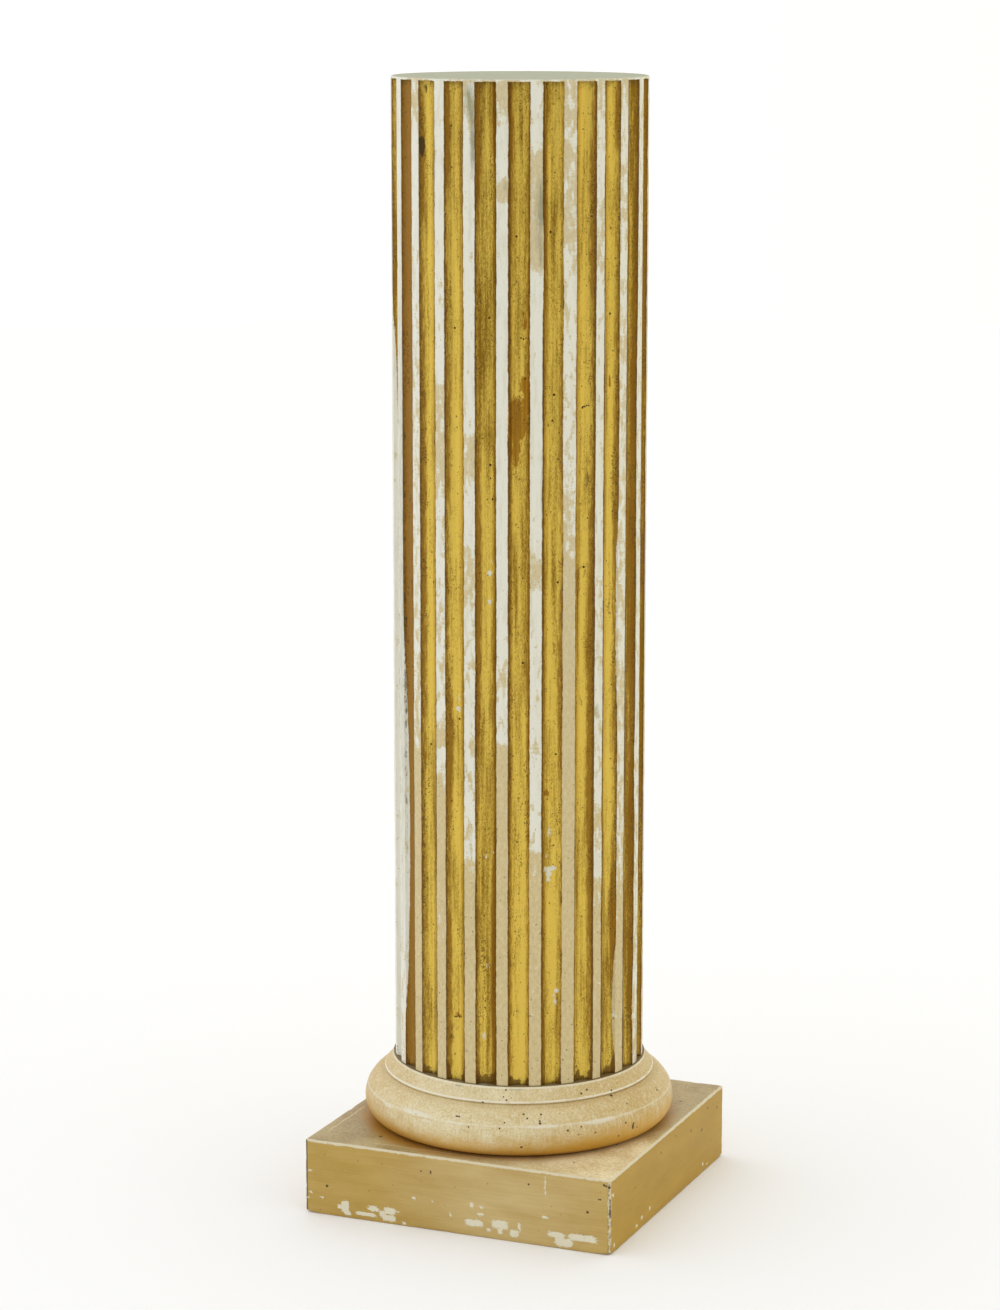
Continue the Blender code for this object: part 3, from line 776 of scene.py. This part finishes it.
def worn_fillets(tree, position, height, marks):
    """The fillets' colour: bare gesso, a thin film of cream or the full cream coat, and where it is bare."""
    patches = grain(tree, position, 6, 16, detail=3.0, roughness=0.55)
    fringes = grain(tree, position, 8, 1.6, detail=2.0)
    bare_patches = add(tree, "Math", {0: patches, 1: 2.4, 2: marks["bare_gesso"]}, operation="MULTIPLY_ADD")
    bare_mask = worn_mask(tree, fringes, 0.62, bare_patches, 1.98, 2.02)
    film_mask = worn_mask(tree, fringes, 0.62, bare_patches, 1.8, 1.86)
    coat_cloud = grain(tree, position, 2.6, 5, detail=5.0, roughness=0.7)
    coat_share = add(tree, "MapRange", {"Value": coat_cloud, "From Min": 0.3, "From Max": 0.7})
    low_coat = coats(tree, "C8B382", (coat_share, "DCCC9E"))
    high_coat = coats(tree, "C9B88C", (coat_share, "DACDA8"))
    high_up = add(tree, "MapRange", {"Value": height, "From Min": 0.4, "From Max": 0.75})
    gesso_cloud = grain(tree, position, 5, 30, detail=4.0, roughness=0.6)
    gesso_share = add(tree, "MapRange", {"Value": gesso_cloud, "From Min": 0.3, "From Max": 0.5})
    gesso = coats(tree, "DCD8C4", (gesso_share, "E7E5D6"))
    stain_ragged = grain(tree, position, 2.2, 12, detail=4.0, roughness=0.7)
    stain_level = add(tree, "Math", {0: stain_ragged, 1: marks["stain"]}, operation="MULTIPLY")
    stain_mask = add(tree, "MapRange", {"Value": stain_level, "From Min": 0.15, "From Max": 0.55,
                                        "To Min": 0.0, "To Max": 0.8})
    fillets = coats(tree, low_coat, (high_up, high_coat), (film_mask, "D8D0B2"), (bare_mask, gesso),
                    (stain_mask, "8E8E72"))
    return fillets, bare_mask


def grey_top(tree, position):
    """The flat top's coat of grey, which is paler towards its edge."""
    outwards = add(tree, "VectorMath", {0: position, 1: (1.0, 1.0, 0.0)}, operation="MULTIPLY")
    radius = add(tree, "VectorMath", {0: outwards}, operation="LENGTH").outputs["Value"]
    cloud = grain(tree, position, 14, 14, detail=6.0, roughness=0.7)
    rim_mask = worn_mask(tree, cloud, 8 * MM, radius, SHAFT_RADIUS, SHAFT_RADIUS + 4 * MM, 0.8)
    return coats(tree, "94977F", (cloud, "BABBA4"), (rim_mask, "D8D6C6"))


def dust_on_bronze(tree, position, distance, gessoed):
    """Fine brown speckle in clusters, most of it along the flutes' edges and next to none on the fillets."""
    cluster = grain(tree, position, 9, 34, detail=3.0)
    near_edge = add(tree, "MapRange", {"Value": distance, "From Min": 4.0, "From Max": 10.5,
                                       "To Min": 0.0, "To Max": 0.14})
    clustered = add(tree, "Math", {0: cluster, 1: near_edge}, operation="ADD")
    cells = add(tree, "TexVoronoi", {"Vector": position, "Scale": 430.0, "Randomness": 1.0})
    edge = add(tree, "MapRange", {"Value": clustered, "From Min": 0.45, "From Max": 0.72,
                                  "To Min": -0.05, "To Max": 0.5})
    depth = add(tree, "Math", {0: edge, 1: cells.outputs["Distance"]}, operation="SUBTRACT")
    dust = add(tree, "MapRange", {"Value": depth, "From Min": 0.0, "From Max": 0.12,
                                  "To Min": 0.0, "To Max": 0.62})
    place = add(tree, "MapRange", {"Value": gessoed, "To Min": 1.0, "To Max": 0.06})
    return add(tree, "Math", {0: dust, 1: place}, operation="MULTIPLY")


def gild_and_gesso(piece):
    """Gesso on timber: fillets in worn cream distemper, flutes in brushed bronze paint that has gone brown.

    The gesso is matt and chalky. The distemper over it has flaked off in ragged patches with level fringes.
    The bronze paint has a soft metallic sheen that follows the brush up and down the flute, and brown is
    painted along the edges as the shade in the flutes' corners.
    """
    tree, shader = new_material("gesso_and_bronze_paint", piece)
    marks = {}
    for name, value_at in (("bare_gesso", bare_gesso), ("flute_tone", flute_tone),
                           ("edge_shift", edge_shift)):
        marks[name] = marked(tree, piece, name, value_at)
    for name, spots in (("bole", BOLE_SPOTS), ("soot", SOOT_SPOTS), ("chalk", CHALK_SPOTS),
                        ("stain", STAIN_SPOTS), ("edge_shade_spread", EDGE_SHADE_SPOTS)):
        marks[name] = marked(tree, piece, name, lambda point: column_spots(point, spots))

    # The distance round the shaft from the middle of the nearest flute, in mm
    position = add(tree, "TexCoord").outputs["Object"]
    parts = add(tree, "SeparateXYZ", {0: position})
    height = parts.outputs["Z"]
    turn = add(tree, "Math", {0: parts.outputs["Y"], 1: parts.outputs["X"]}, operation="ARCTAN2")
    pitches = add(tree, "Math", {0: turn, 1: FLUTE_PITCH}, operation="DIVIDE")
    share = add(tree, "Math", {0: pitches}, operation="FRACT")
    from_middle = add(tree, "Math", {0: share, 1: 0.5}, operation="SUBTRACT")
    off_middle = add(tree, "Math", {0: from_middle}, operation="ABSOLUTE")
    distance = add(tree, "Math", {0: off_middle, 1: FLUTE_PITCH * SHAFT_RADIUS / MM}, operation="MULTIPLY")

    # Brush streaks up and down, the fine grain of the bronze powder, and ragged patches
    grains = {"streaks": grain(tree, position, 3.2, 160, detail=4.0),
              "powder": grain(tree, position, 1.2, 3.0, detail=3.0, roughness=0.7),
              "patchy": grain(tree, position, 4, 9, detail=6.0, roughness=0.72)}
    flutes = bronze_flutes(tree, position, height, distance, marks, grains)
    fillets, bare_mask = worn_fillets(tree, position, height, marks)

    # The painted edge between fillet and flute wanders, and slops over in places
    wander = grain(tree, position, 2.4, 7, detail=3.0, roughness=0.6)
    slow_wander = grain(tree, position, 8, 60, detail=2.0)
    slopped = add(tree, "Math", {0: distance, 1: marks["edge_shift"]}, operation="ADD")
    edge_fine = add(tree, "Math", {0: wander, 1: 1.5, 2: slopped}, operation="MULTIPLY_ADD")
    fillet_mask = worn_mask(tree, slow_wander, 1.6, edge_fine, 11.3, 11.7)
    lip_mask = worn_mask(tree, wander, 3.2 * MM, height, SHAFT_TOP - 0.9 * MM, SHAFT_TOP - 0.5 * MM)
    gessoed = add(tree, "Math", {0: fillet_mask, 1: lip_mask}, operation="MAXIMUM")
    dust = dust_on_bronze(tree, position, distance, gessoed)

    # Specks of dirt and old fly spots, most on the bronze and low down on the cream
    specks = speck_mask(tree, position, 3, 150.0, 0.34, -0.06, 0.03, 0.8)
    low_down = add(tree, "MapRange", {"Value": height, "From Min": 0.2, "From Max": 0.62,
                                      "To Min": 0.85, "To Max": 0.12})
    fillet_specks = add(tree, "Math", {0: gessoed, 1: low_down}, operation="MULTIPLY")
    flute_share = add(tree, "Math", {0: 1.0, 1: gessoed}, operation="SUBTRACT")
    speck_share = add(tree, "Math", {0: fillet_specks, 1: flute_share}, operation="ADD")
    speck_amount = add(tree, "Math", {0: specks, 1: speck_share}, operation="MULTIPLY")
    dots = dot_mask(tree, position, dots_on_shaft(SHAFT_DOTS))
    soot_mask = worn_mask(tree, grains["patchy"], 2.4, marks["soot"], 1.7, 2.1, 0.85)
    top_mask = add(tree, "MapRange", {"Value": height, "From Min": SHAFT_TOP - 0.7 * MM,
                                      "From Max": SHAFT_TOP - 0.45 * MM})
    colour = coats(tree, flutes, (gessoed, fillets), (dust, "5E4212"), (speck_amount, "5A3E14"),
                   (dots, "463009"), (soot_mask, "3A2E14"), (top_mask, grey_top(tree, position)))
    tree.links.new(colour.outputs[2], shader.inputs["Base Color"])

    # Bronze has a sheen, and gesso has none
    is_gesso = add(tree, "Math", {0: gessoed, 1: top_mask}, operation="MAXIMUM")
    bronze_metal = add(tree, "MapRange", {"Value": is_gesso, "To Min": 0.6, "To Max": 0.0})
    bronze_rough = add(tree, "MapRange", {"Value": grains["streaks"], "To Min": 0.28, "To Max": 0.5})
    surface_rough = add(tree, "Mix", {0: is_gesso, 2: bronze_rough, 3: 0.72})
    tree.links.new(bronze_metal.outputs[0], shader.inputs["Metallic"])
    tree.links.new(surface_rough.outputs[0], shader.inputs["Roughness"])
    shader.inputs["Specular IOR Level"].default_value = 0.35

    # Coats lie on each other: the cream stands a little above the gesso, and brush marks stand out less
    coat_height = add(tree, "MapRange", {"Value": bare_mask, "To Min": 0.15, "To Max": 0.0})
    fillet_height = add(tree, "Math", {0: coat_height, 1: gessoed, 2: gessoed}, operation="MULTIPLY_ADD")
    brush_height = add(tree, "Math", {0: grains["powder"], 1: 0.06, 2: fillet_height},
                       operation="MULTIPLY_ADD")
    pitted = add(tree, "Math", {0: specks, 1: -0.15, 2: brush_height}, operation="MULTIPLY_ADD")
    bump = add(tree, "Bump", {"Height": pitted, "Distance": 0.2 * MM, "Strength": 0.6})
    tree.links.new(bump.outputs[0], shader.inputs["Normal"])


def cream_distemper(piece):
    """Turned timber in the same cream distemper, handled more: yellowed below, with painted shade on the
    underside, and worn white on its arrises, with painted highlights along them.

    It is matt with fine pits and brown specks, and dust and painted shade lie in the quirk under the bead.
    Its sides are more golden, partly with painted warm light.
    """
    tree, shader = new_material("aged_cream_distemper", piece)
    rubbed = marked(tree, piece, "rubbed", lambda point: column_spots(point, RUB_SPOTS))
    grey_rubbed = marked(tree, piece, "greyed", lambda point: column_spots(point, GREY_SPOTS))
    # More golden towards the torus's sides: partly the paint, partly painted warm light
    golden_and_warm_light = marked(tree, piece, "golden_and_warm_light", lambda point: between(GOLDEN_AND_WARM_LIGHT_ROUND_TORUS,
                                                                 abs(seen_from_front(point) - PALEST_SIDE)))
    position = add(tree, "TexCoord").outputs["Object"]
    height = add(tree, "SeparateXYZ", {0: position}).outputs["Z"]
    clouds = grain(tree, position, 22, 12, detail=5.0, roughness=0.62)
    cloud_share = add(tree, "MapRange", {"Value": clouds, "From Min": 0.3, "From Max": 0.66})
    yellow_and_warm_light_share = add(tree, "Math", {0: golden_and_warm_light, 1: 0.6}, operation="MULTIPLY")
    mottle = grain(tree, position, 1.8, 1.6, detail=2.0, roughness=0.6)
    dark_mottle = add(tree, "MapRange", {"Value": mottle, "From Min": 0.5, "From Max": 0.64,
                                         "To Min": 0.0, "To Max": 0.38})
    light_mottle = add(tree, "MapRange", {"Value": mottle, "From Min": 0.48, "From Max": 0.34,
                                          "To Min": 0.0, "To Max": 0.34})
    wipes = grain(tree, position, 2.6, 34, detail=3.0, roughness=0.6)
    wipe_share = add(tree, "MapRange", {"Value": wipes, "From Min": 0.5, "From Max": 0.7,
                                        "To Min": 0.0, "To Max": 0.6})

    # The torus turns ochre towards its underside: yellowed paint, and painted shade where it faces down
    low_clouds = add(tree, "Math", {0: clouds, 1: 14 * MM, 2: height}, operation="MULTIPLY_ADD")
    low_level = add(tree, "Math", {0: golden_and_warm_light, 1: -7 * MM, 2: low_clouds}, operation="MULTIPLY_ADD")
    underside_ochre_and_shade = add(tree, "MapRange", {"Value": low_level, "From Min": MOULDING_FOOT + 9 * MM,
                                      "From Max": MOULDING_FOOT + 36 * MM, "To Min": 0.9, "To Max": 0.0},
                   interpolation_type="SMOOTHSTEP")

    # Dust and painted shade in the quirk and on the slope under it, and dirt and painted shade on the ledge
    # that the shaft stands on
    quirk_height = MOULDING_TOP - COVE_HEIGHT - BEAD_HEIGHT - 2.4 * MM
    quirk_dust_and_shade = band_mask(tree, height, quirk_height, 0.8 * MM, 3.2 * MM, 0.28,
                           interpolation_type="SMOOTHSTEP")
    ledge_dirt_and_shade = add(tree, "MapRange", {"Value": height, "From Min": MOULDING_TOP - 0.35 * MM,
                                        "From Max": MOULDING_TOP - 0.15 * MM, "To Min": 0.0, "To Max": 0.8})

    # Grey rubbed off on the ring, and white wear in smears round the ridge on the torus
    smears = grain(tree, position, 6, 2.0, detail=5.0, roughness=0.85)
    grey_level = add(tree, "Math", {0: smears, 1: grey_rubbed}, operation="MULTIPLY")
    grey_mask = add(tree, "MapRange", {"Value": grey_level, "From Min": 0.2, "From Max": 0.4,
                                       "To Min": 0.0, "To Max": 0.6})
    smear_mask = worn_mask(tree, smears, 1.6, rubbed, 1.25, 1.85, 0.8)
    worn = coats(tree, "D2BE8C", (cloud_share, "E4D6AE"), (yellow_and_warm_light_share, "C09C50"), (dark_mottle, "B29450"),
                 (light_mottle, "E6DDC0"), (wipe_share, "E4DCC0"), (underside_ochre_and_shade, "CC9A28"),
                 (quirk_dust_and_shade, "B4965A"), (ledge_dirt_and_shade, "5E4A20"), (grey_mask, "9C9B82"),
                 (smear_mask, "E4DECB"))

    # White wear and painted highlights on the two arrises of the ring and a faint line along the ridge,
    # broken by noise
    breaks = grain(tree, position, 12, 3, detail=4.0, roughness=0.7)
    for wear_and_highlight_height, half_height, spread in ((MOULDING_TOP - 1.2 * MM, 1.15 * MM, 0.65),
                                             (MOULDING_TOP - COVE_HEIGHT - 0.2 * MM, 1.3 * MM, 0.95),
                                             (RIDGE_HEIGHT, 1.2 * MM, 0.35)):
        line = band_mask(tree, height, wear_and_highlight_height, half_height * 0.5, half_height)
        broken = add(tree, "MapRange", {"Value": breaks, "From Min": 0.3, "From Max": 0.48,
                                        "To Min": 0.2, "To Max": spread})
        mask = add(tree, "Math", {0: line, 1: broken}, operation="MULTIPLY")
        worn = coats(tree, worn, (mask, "EAE5D0"))

    # Worm holes and dark specks
    specks = speck_mask(tree, position, 4, 150.0, 0.32, -0.08, 0.04, 0.6)
    dots = dot_mask(tree, position, dots_round(MOULDING_DOTS))
    pits = add(tree, "Math", {0: specks, 1: dots}, operation="MAXIMUM")
    colour = coats(tree, worn, (pits, "4E3A1A"))
    tree.links.new(colour.outputs[2], shader.inputs["Base Color"])
    rough = add(tree, "MapRange", {"Value": clouds, "To Min": 0.5, "To Max": 0.7})
    tree.links.new(rough.outputs[0], shader.inputs["Roughness"])
    surface = add(tree, "Math", {0: mottle, 1: 0.35}, operation="MULTIPLY")
    pitted = add(tree, "Math", {0: pits, 1: -1.2, 2: surface}, operation="MULTIPLY_ADD")
    bump = add(tree, "Bump", {"Height": pitted, "Distance": 0.25 * MM, "Strength": 0.5})
    tree.links.new(bump.outputs[0], shader.inputs["Normal"])


def plinth_top_colours(tree, piece, position, on_top):
    """The colour of the plinth's top, greyer than its sides, with painted light towards its front right, and
    where dirt and painted shade gather round the torus.
    """
    mottle = grain(tree, position, 3.2, 3.2, detail=5.0, roughness=0.7)
    drift = grain(tree, position, 34, 9, detail=4.0, roughness=0.6)
    mixed = add(tree, "Math", {0: drift, 1: 0.8, 2: mottle}, operation="MULTIPLY_ADD")
    share = add(tree, "MapRange", {"Value": mixed, "From Min": 0.7, "From Max": 1.1})
    # Painted light: the top is paler towards its front right
    painted_light_share = marked(tree, piece, "painted_lit_top",
                      lambda point: between(PAINTED_LIGHT_ROUND_TORUS, seen_from_front(point)))
    painted_lit_top = coats(tree, "CDB27C", (share, "FAEFCC"))
    top_coat = coats(tree, "957D4C", (share, "B9A676"), (painted_light_share, painted_lit_top))
    flat = add(tree, "VectorMath", {0: position, 1: (1.0, 1.0, 0.0)}, operation="MULTIPLY")
    radius = add(tree, "VectorMath", {0: flat}, operation="LENGTH").outputs["Value"]
    # Dirt and painted shade round the torus, heaviest at the back and left
    dirt_and_shade = marked(tree, piece, "dirt_and_shade", lambda point: between(DIRT_AND_SHADE_ROUND_TORUS, seen_from_front(point)))
    drifted = add(tree, "Math", {0: dirt_and_shade, 1: -16 * MM, 2: radius}, operation="MULTIPLY_ADD")
    halo_level = add(tree, "Math", {0: mixed, 1: -26 * MM, 2: drifted}, operation="MULTIPLY_ADD")
    halo = add(tree, "MapRange", {"Value": halo_level, "From Min": TORUS_RADIUS - 42 * MM,
                                  "From Max": TORUS_RADIUS - 28 * MM, "To Min": 0.85, "To Max": 0.0},
               interpolation_type="SMOOTHSTEP")
    halo_on_top = add(tree, "Math", {0: halo, 1: on_top}, operation="MULTIPLY")
    return top_coat, add(tree, "Math", {0: halo_on_top, 1: dirt_and_shade}, operation="MULTIPLY")


def ochre_oil_paint(piece):
    """Boards in ochre oil paint, brushed level: a low sheen with fine ridges along the brush.

    The arrises are rubbed to white gesso, chips near the floor show it too, and dirt and painted shade lie
    round the torus.
    The top is painted paler towards its front right as light, and the right side more golden, partly as
    shade.
    """
    tree, shader = new_material("ochre_oil_paint", piece)
    position = add(tree, "TexCoord").outputs["Object"]
    parts = add(tree, "SeparateXYZ", {0: position})
    x_place, y_place, height = parts.outputs["X"], parts.outputs["Y"], parts.outputs["Z"]
    brush = grain(tree, position, 60, 0.9, detail=3.0, roughness=0.6)
    clouds = grain(tree, position, 70, 22, detail=5.0, roughness=0.55)
    brushed = add(tree, "Math", {0: brush, 1: 0.5, 2: clouds}, operation="MULTIPLY_ADD")
    shade = add(tree, "MapRange", {"Value": brushed, "From Min": 0.55, "From Max": 0.95})
    # Paler where the ochre has faded; the right side is kept more golden, partly as painted shade
    faded_and_side_shade = marked(tree, piece, "faded_and_side_shade", plinth_fading_and_side_shade)
    faded_coat = coats(tree, "BC9F60", (shade, "CEB67E"))
    coat = coats(tree, "AC860A", (shade, "B8921C"), (faded_and_side_shade, faded_coat))

    # Distances from the four upright sides and from the top
    half = PLINTH_SIDE / 2
    away_x = add(tree, "Math", {0: x_place}, operation="ABSOLUTE")
    away_y = add(tree, "Math", {0: y_place}, operation="ABSOLUTE")
    outer = add(tree, "Math", {0: away_x, 1: away_y}, operation="MAXIMUM")
    inner = add(tree, "Math", {0: away_x, 1: away_y}, operation="MINIMUM")
    from_side = add(tree, "Math", {0: half, 1: outer}, operation="SUBTRACT")
    from_other = add(tree, "Math", {0: half, 1: inner}, operation="SUBTRACT")
    from_top = add(tree, "Math", {0: PLINTH_TOP, 1: height}, operation="SUBTRACT")
    on_top = add(tree, "MapRange", {"Value": from_top, "From Min": 0.3 * MM, "From Max": 0.9 * MM,
                                    "To Min": 1.0, "To Max": 0.0})
    # The top's coat, with its painted light, and the dirt and painted shade round the torus
    top_coat, halo_dirt_and_shade = plinth_top_colours(tree, piece, position, on_top)
    lined = coats(tree, coat, (on_top, top_coat), (halo_dirt_and_shade, "B27E1A"))

    # Pale lines beside the front and left arrises, where the boards of the top meet
    wobble = grain(tree, position, 16, 16, detail=3.0)
    for along, across, line_place, first, last in ((x_place, y_place, -147.5, -104, 46),
                                                   (y_place, x_place, -152.5, -140, -40)):
        wandering = add(tree, "Math", {0: wobble, 1: 4 * MM, 2: across}, operation="MULTIPLY_ADD")
        line = band_mask(tree, wandering, line_place * MM, 0.4 * MM, 1.0 * MM, 0.8)
        middle, reach = (first + last) / 2 * MM, (last - first) / 2 * MM
        within = band_mask(tree, along, middle, reach - 12 * MM, reach)
        line_within = add(tree, "Math", {0: line, 1: within}, operation="MULTIPLY")
        line_mask = add(tree, "Math", {0: line_within, 1: on_top}, operation="MULTIPLY")
        lined = coats(tree, lined, (line_mask, "D9C294"))

    # Arrises rubbed white, unevenly; the rub is nearly unbroken along the top of the front and the right
    rubs = grain(tree, position, 8, 8, detail=6.0, roughness=0.8)
    to_top_arris = add(tree, "Math", {0: from_side, 1: from_top}, operation="ADD")
    to_upright_arris = add(tree, "Math", {0: from_side, 1: from_other}, operation="ADD")
    to_arris = add(tree, "Math", {0: to_top_arris, 1: to_upright_arris}, operation="MINIMUM")
    from_front = add(tree, "Math", {0: y_place, 1: half}, operation="ADD")
    from_right = add(tree, "Math", {0: half, 1: x_place}, operation="SUBTRACT")
    from_left = add(tree, "Math", {0: x_place, 1: half}, operation="ADD")
    front_top = add(tree, "Math", {0: from_front, 1: from_top}, operation="ADD")
    right_top = add(tree, "Math", {0: from_right, 1: from_top}, operation="ADD")
    front_right = add(tree, "Math", {0: from_front, 1: from_right}, operation="ADD")
    front_left = add(tree, "Math", {0: from_front, 1: from_left}, operation="ADD")
    rub_depth = -1.0
    for to_line, width, spread in ((to_arris, -2.2, 6.0), (front_top, 0.1, 4.6), (right_top, 0.3, 4.2),
                                   (front_right, -1.8, 9.0)):
        line_width = add(tree, "Math", {0: rubs, 1: spread * MM, 2: width * MM}, operation="MULTIPLY_ADD")
        line_depth = add(tree, "Math", {0: line_width, 1: to_line}, operation="SUBTRACT")
        rub_depth = add(tree, "Math", {0: rub_depth, 1: line_depth}, operation="MAXIMUM")
    rub_mask = add(tree, "MapRange", {"Value": rub_depth, "From Min": 0.0, "From Max": 0.6 * MM,
                                      "To Min": 0.0, "To Max": 0.85})
    corner_spots = grain(tree, position, 2.4, 4, detail=4.0, roughness=0.75)
    corner_dark = add(tree, "MapRange", {"Value": corner_spots, "From Min": 0.5, "From Max": 0.6,
                                         "To Min": 0.0, "To Max": 0.75})
    by_corner = add(tree, "MapRange", {"Value": front_right, "From Min": 2.2 * MM, "From Max": 3.4 * MM,
                                       "To Min": 1.0, "To Max": 0.0})
    corner_mask = add(tree, "Math", {0: corner_dark, 1: by_corner}, operation="MULTIPLY")

    # A crack down the front right arris, and old dirt down the front left one
    crack_length = band_mask(tree, height, 48.5 * MM, 8 * MM, 11 * MM)
    crack_wander = add(tree, "Math", {0: rubs, 1: 4.0 * MM, 2: -2.0 * MM}, operation="MULTIPLY_ADD")
    crack_place = add(tree, "Math", {0: front_right, 1: crack_wander}, operation="ADD")
    crack_line = add(tree, "MapRange", {"Value": crack_place, "From Min": 1.0 * MM, "From Max": 1.8 * MM,
                                        "To Min": 0.9, "To Max": 0.0})
    crack_mask = add(tree, "Math", {0: crack_length, 1: crack_line}, operation="MULTIPLY")
    left_line = add(tree, "MapRange", {"Value": front_left, "From Min": 1.7 * MM, "From Max": 2.8 * MM,
                                       "To Min": 0.85, "To Max": 0.0})

    # Chips down to the gesso with ragged outlines, and dark specks and dots
    chips = marked(tree, piece, "chips", plinth_chips)
    chip_ragged = grain(tree, position, 3.0, 1.7, detail=6.0, roughness=0.78)
    chip_mask = worn_mask(tree, chip_ragged, 3.8, chips, 2.46, 2.58, 0.95)
    specks = speck_mask(tree, position, 4, 120.0, 0.26, -0.06, 0.03, 0.5)
    places = [((x * MM, y * MM, z * MM), size * MM) for x, y, z, size in PLINTH_DOTS]
    pits = add(tree, "Math", {0: specks, 1: dot_mask(tree, position, places)}, operation="MAXIMUM")
    colour = coats(tree, lined, (rub_mask, "DED6BA"), (corner_mask, "7E6C46"), (crack_mask, "3A2A12"),
                   (left_line, "4C4426"), (chip_mask, "E5E0C8"), (pits, "5A4220"))
    tree.links.new(colour.outputs[2], shader.inputs["Base Color"])
    rough = add(tree, "MapRange", {"Value": chip_mask, "To Min": 0.46, "To Max": 0.75})
    tree.links.new(rough.outputs[0], shader.inputs["Roughness"])
    shader.inputs["Specular IOR Level"].default_value = 0.35
    ridges = add(tree, "Math", {0: brush, 1: 0.3}, operation="MULTIPLY")
    sunk = add(tree, "Math", {0: chip_mask, 1: -1.0, 2: ridges}, operation="MULTIPLY_ADD")
    bump = add(tree, "Bump", {"Height": sunk, "Distance": 0.25 * MM, "Strength": 0.5})
    tree.links.new(bump.outputs[0], shader.inputs["Normal"])


def plinth_fading_and_side_shade(point):
    """How far the ochre has faded: most in the middle of the front, and least on the right, where the deeper
    golden is partly painted shade.
    """
    if point.x > PLINTH_SIDE / 2 - 2 * MM:
        return 0.05
    if point.y > -PLINTH_SIDE / 2 + 2 * MM:
        return 0.3
    across = (point.x / MM - 50) / 190
    up = (point.z / MM - 45) / 60
    return max(0.45, 1 - across ** 2 - 0.3 * up ** 2)


def plinth_chips(point):
    """The strongest of the chips that a point of the plinth lies in; most of the chips are on the front."""
    face = PLINTH_SIDE / 2 - 2 * MM
    on_side = {"front": point.y < -face, "right": point.x > face,
               "back": point.y > face, "left": point.x < -face}
    strongest = 0.0
    for side, along, height, half_width, half_height, strength in PLINTH_CHIPS:
        if on_side[side]:
            place = (point.x if side in ("front", "back") else point.y) / MM
            inside = 1 - ((place - along) / half_width) ** 4 - ((point.z / MM - height) / half_height) ** 4
            strongest = max(strongest, strength * inside)
    return strongest


# Floor, light and camera

def make_floor():
    shape = bmesh.new()
    bmesh.ops.create_circle(shape, cap_ends=True, segments=96, radius=FLOOR_RADIUS)
    mesh = bpy.data.meshes.new("floor")
    shape.to_mesh(mesh)
    shape.free()
    floor = bpy.data.objects.new("floor", mesh)
    bpy.context.scene.collection.objects.link(floor)
    tree, shader = new_material("pale_studio_floor", floor)
    shader.inputs["Base Color"].default_value = (0.94, 0.95, 0.98, 1.0)
    shader.inputs["Roughness"].default_value = 1.0
    shader.inputs["Specular IOR Level"].default_value = 0.0


def light_studio():
    """A pale surround: brightest overhead, dimmer and warmer to the right, and dimmest behind the camera."""
    world = bpy.data.worlds.new("studio")
    bpy.context.scene.world = world
    world.use_nodes = True
    tree = world.node_tree
    direction = add(tree, "TexCoord").outputs["Generated"]
    behind_camera = (math.sin(CAMERA_TURN), -math.cos(CAMERA_TURN), 0.0)
    right_of_camera = (math.cos(CAMERA_TURN), math.sin(CAMERA_TURN), 0.0)
    towards_camera = add(tree, "VectorMath", {0: direction, 1: behind_camera}, operation="DOT_PRODUCT")
    towards_right = add(tree, "VectorMath", {0: direction, 1: right_of_camera}, operation="DOT_PRODUCT")
    overhead = add(tree, "SeparateXYZ", {0: direction}).outputs["Z"]
    front = add(tree, "MapRange", {"Value": towards_camera.outputs["Value"], "From Min": 0.45,
                                   "From Max": 1.0, "To Min": 1.06, "To Max": 0.5},
                interpolation_type="SMOOTHSTEP")
    above = add(tree, "MapRange", {"Value": overhead, "From Min": 0.2, "From Max": 1.0,
                                   "To Min": 0.0, "To Max": 0.18})
    strength = add(tree, "Math", {0: front, 1: above}, operation="ADD")
    warm_side = add(tree, "MapRange", {"Value": towards_right.outputs["Value"], "From Min": -0.1,
                                       "From Max": 0.9})
    tint = add(tree, "Mix", {0: warm_side, 6: (1.0, 1.0, 1.0, 1.0), 7: (0.86, 0.82, 0.66, 1.0)},
               data_type="RGBA")
    background = tree.nodes["Background"]
    tree.links.new(tint.outputs[2], background.inputs["Color"])
    tree.links.new(strength.outputs[0], background.inputs["Strength"])


def place_camera():
    data = bpy.data.cameras.new("camera")
    data.lens = CAMERA_LENS
    data.sensor_width = 36.0
    data.sensor_fit = "AUTO"
    camera = bpy.data.objects.new("camera", data)
    bpy.context.scene.collection.objects.link(camera)
    camera.location = (CAMERA_DISTANCE * math.sin(CAMERA_TURN), -CAMERA_DISTANCE * math.cos(CAMERA_TURN),
                       CAMERA_HEIGHT)
    camera.rotation_euler = (CAMERA_TILT, 0.0, CAMERA_HEADING)
    bpy.context.scene.camera = camera


shaft = make_shaft()
moulding = make_moulding()
plinth = make_plinth()
make_floor()
light_studio()
place_camera()
bpy.context.scene.view_settings.view_transform = "Standard"

gild_and_gesso(shaft)
cream_distemper(moulding)
ochre_oil_paint(plinth)
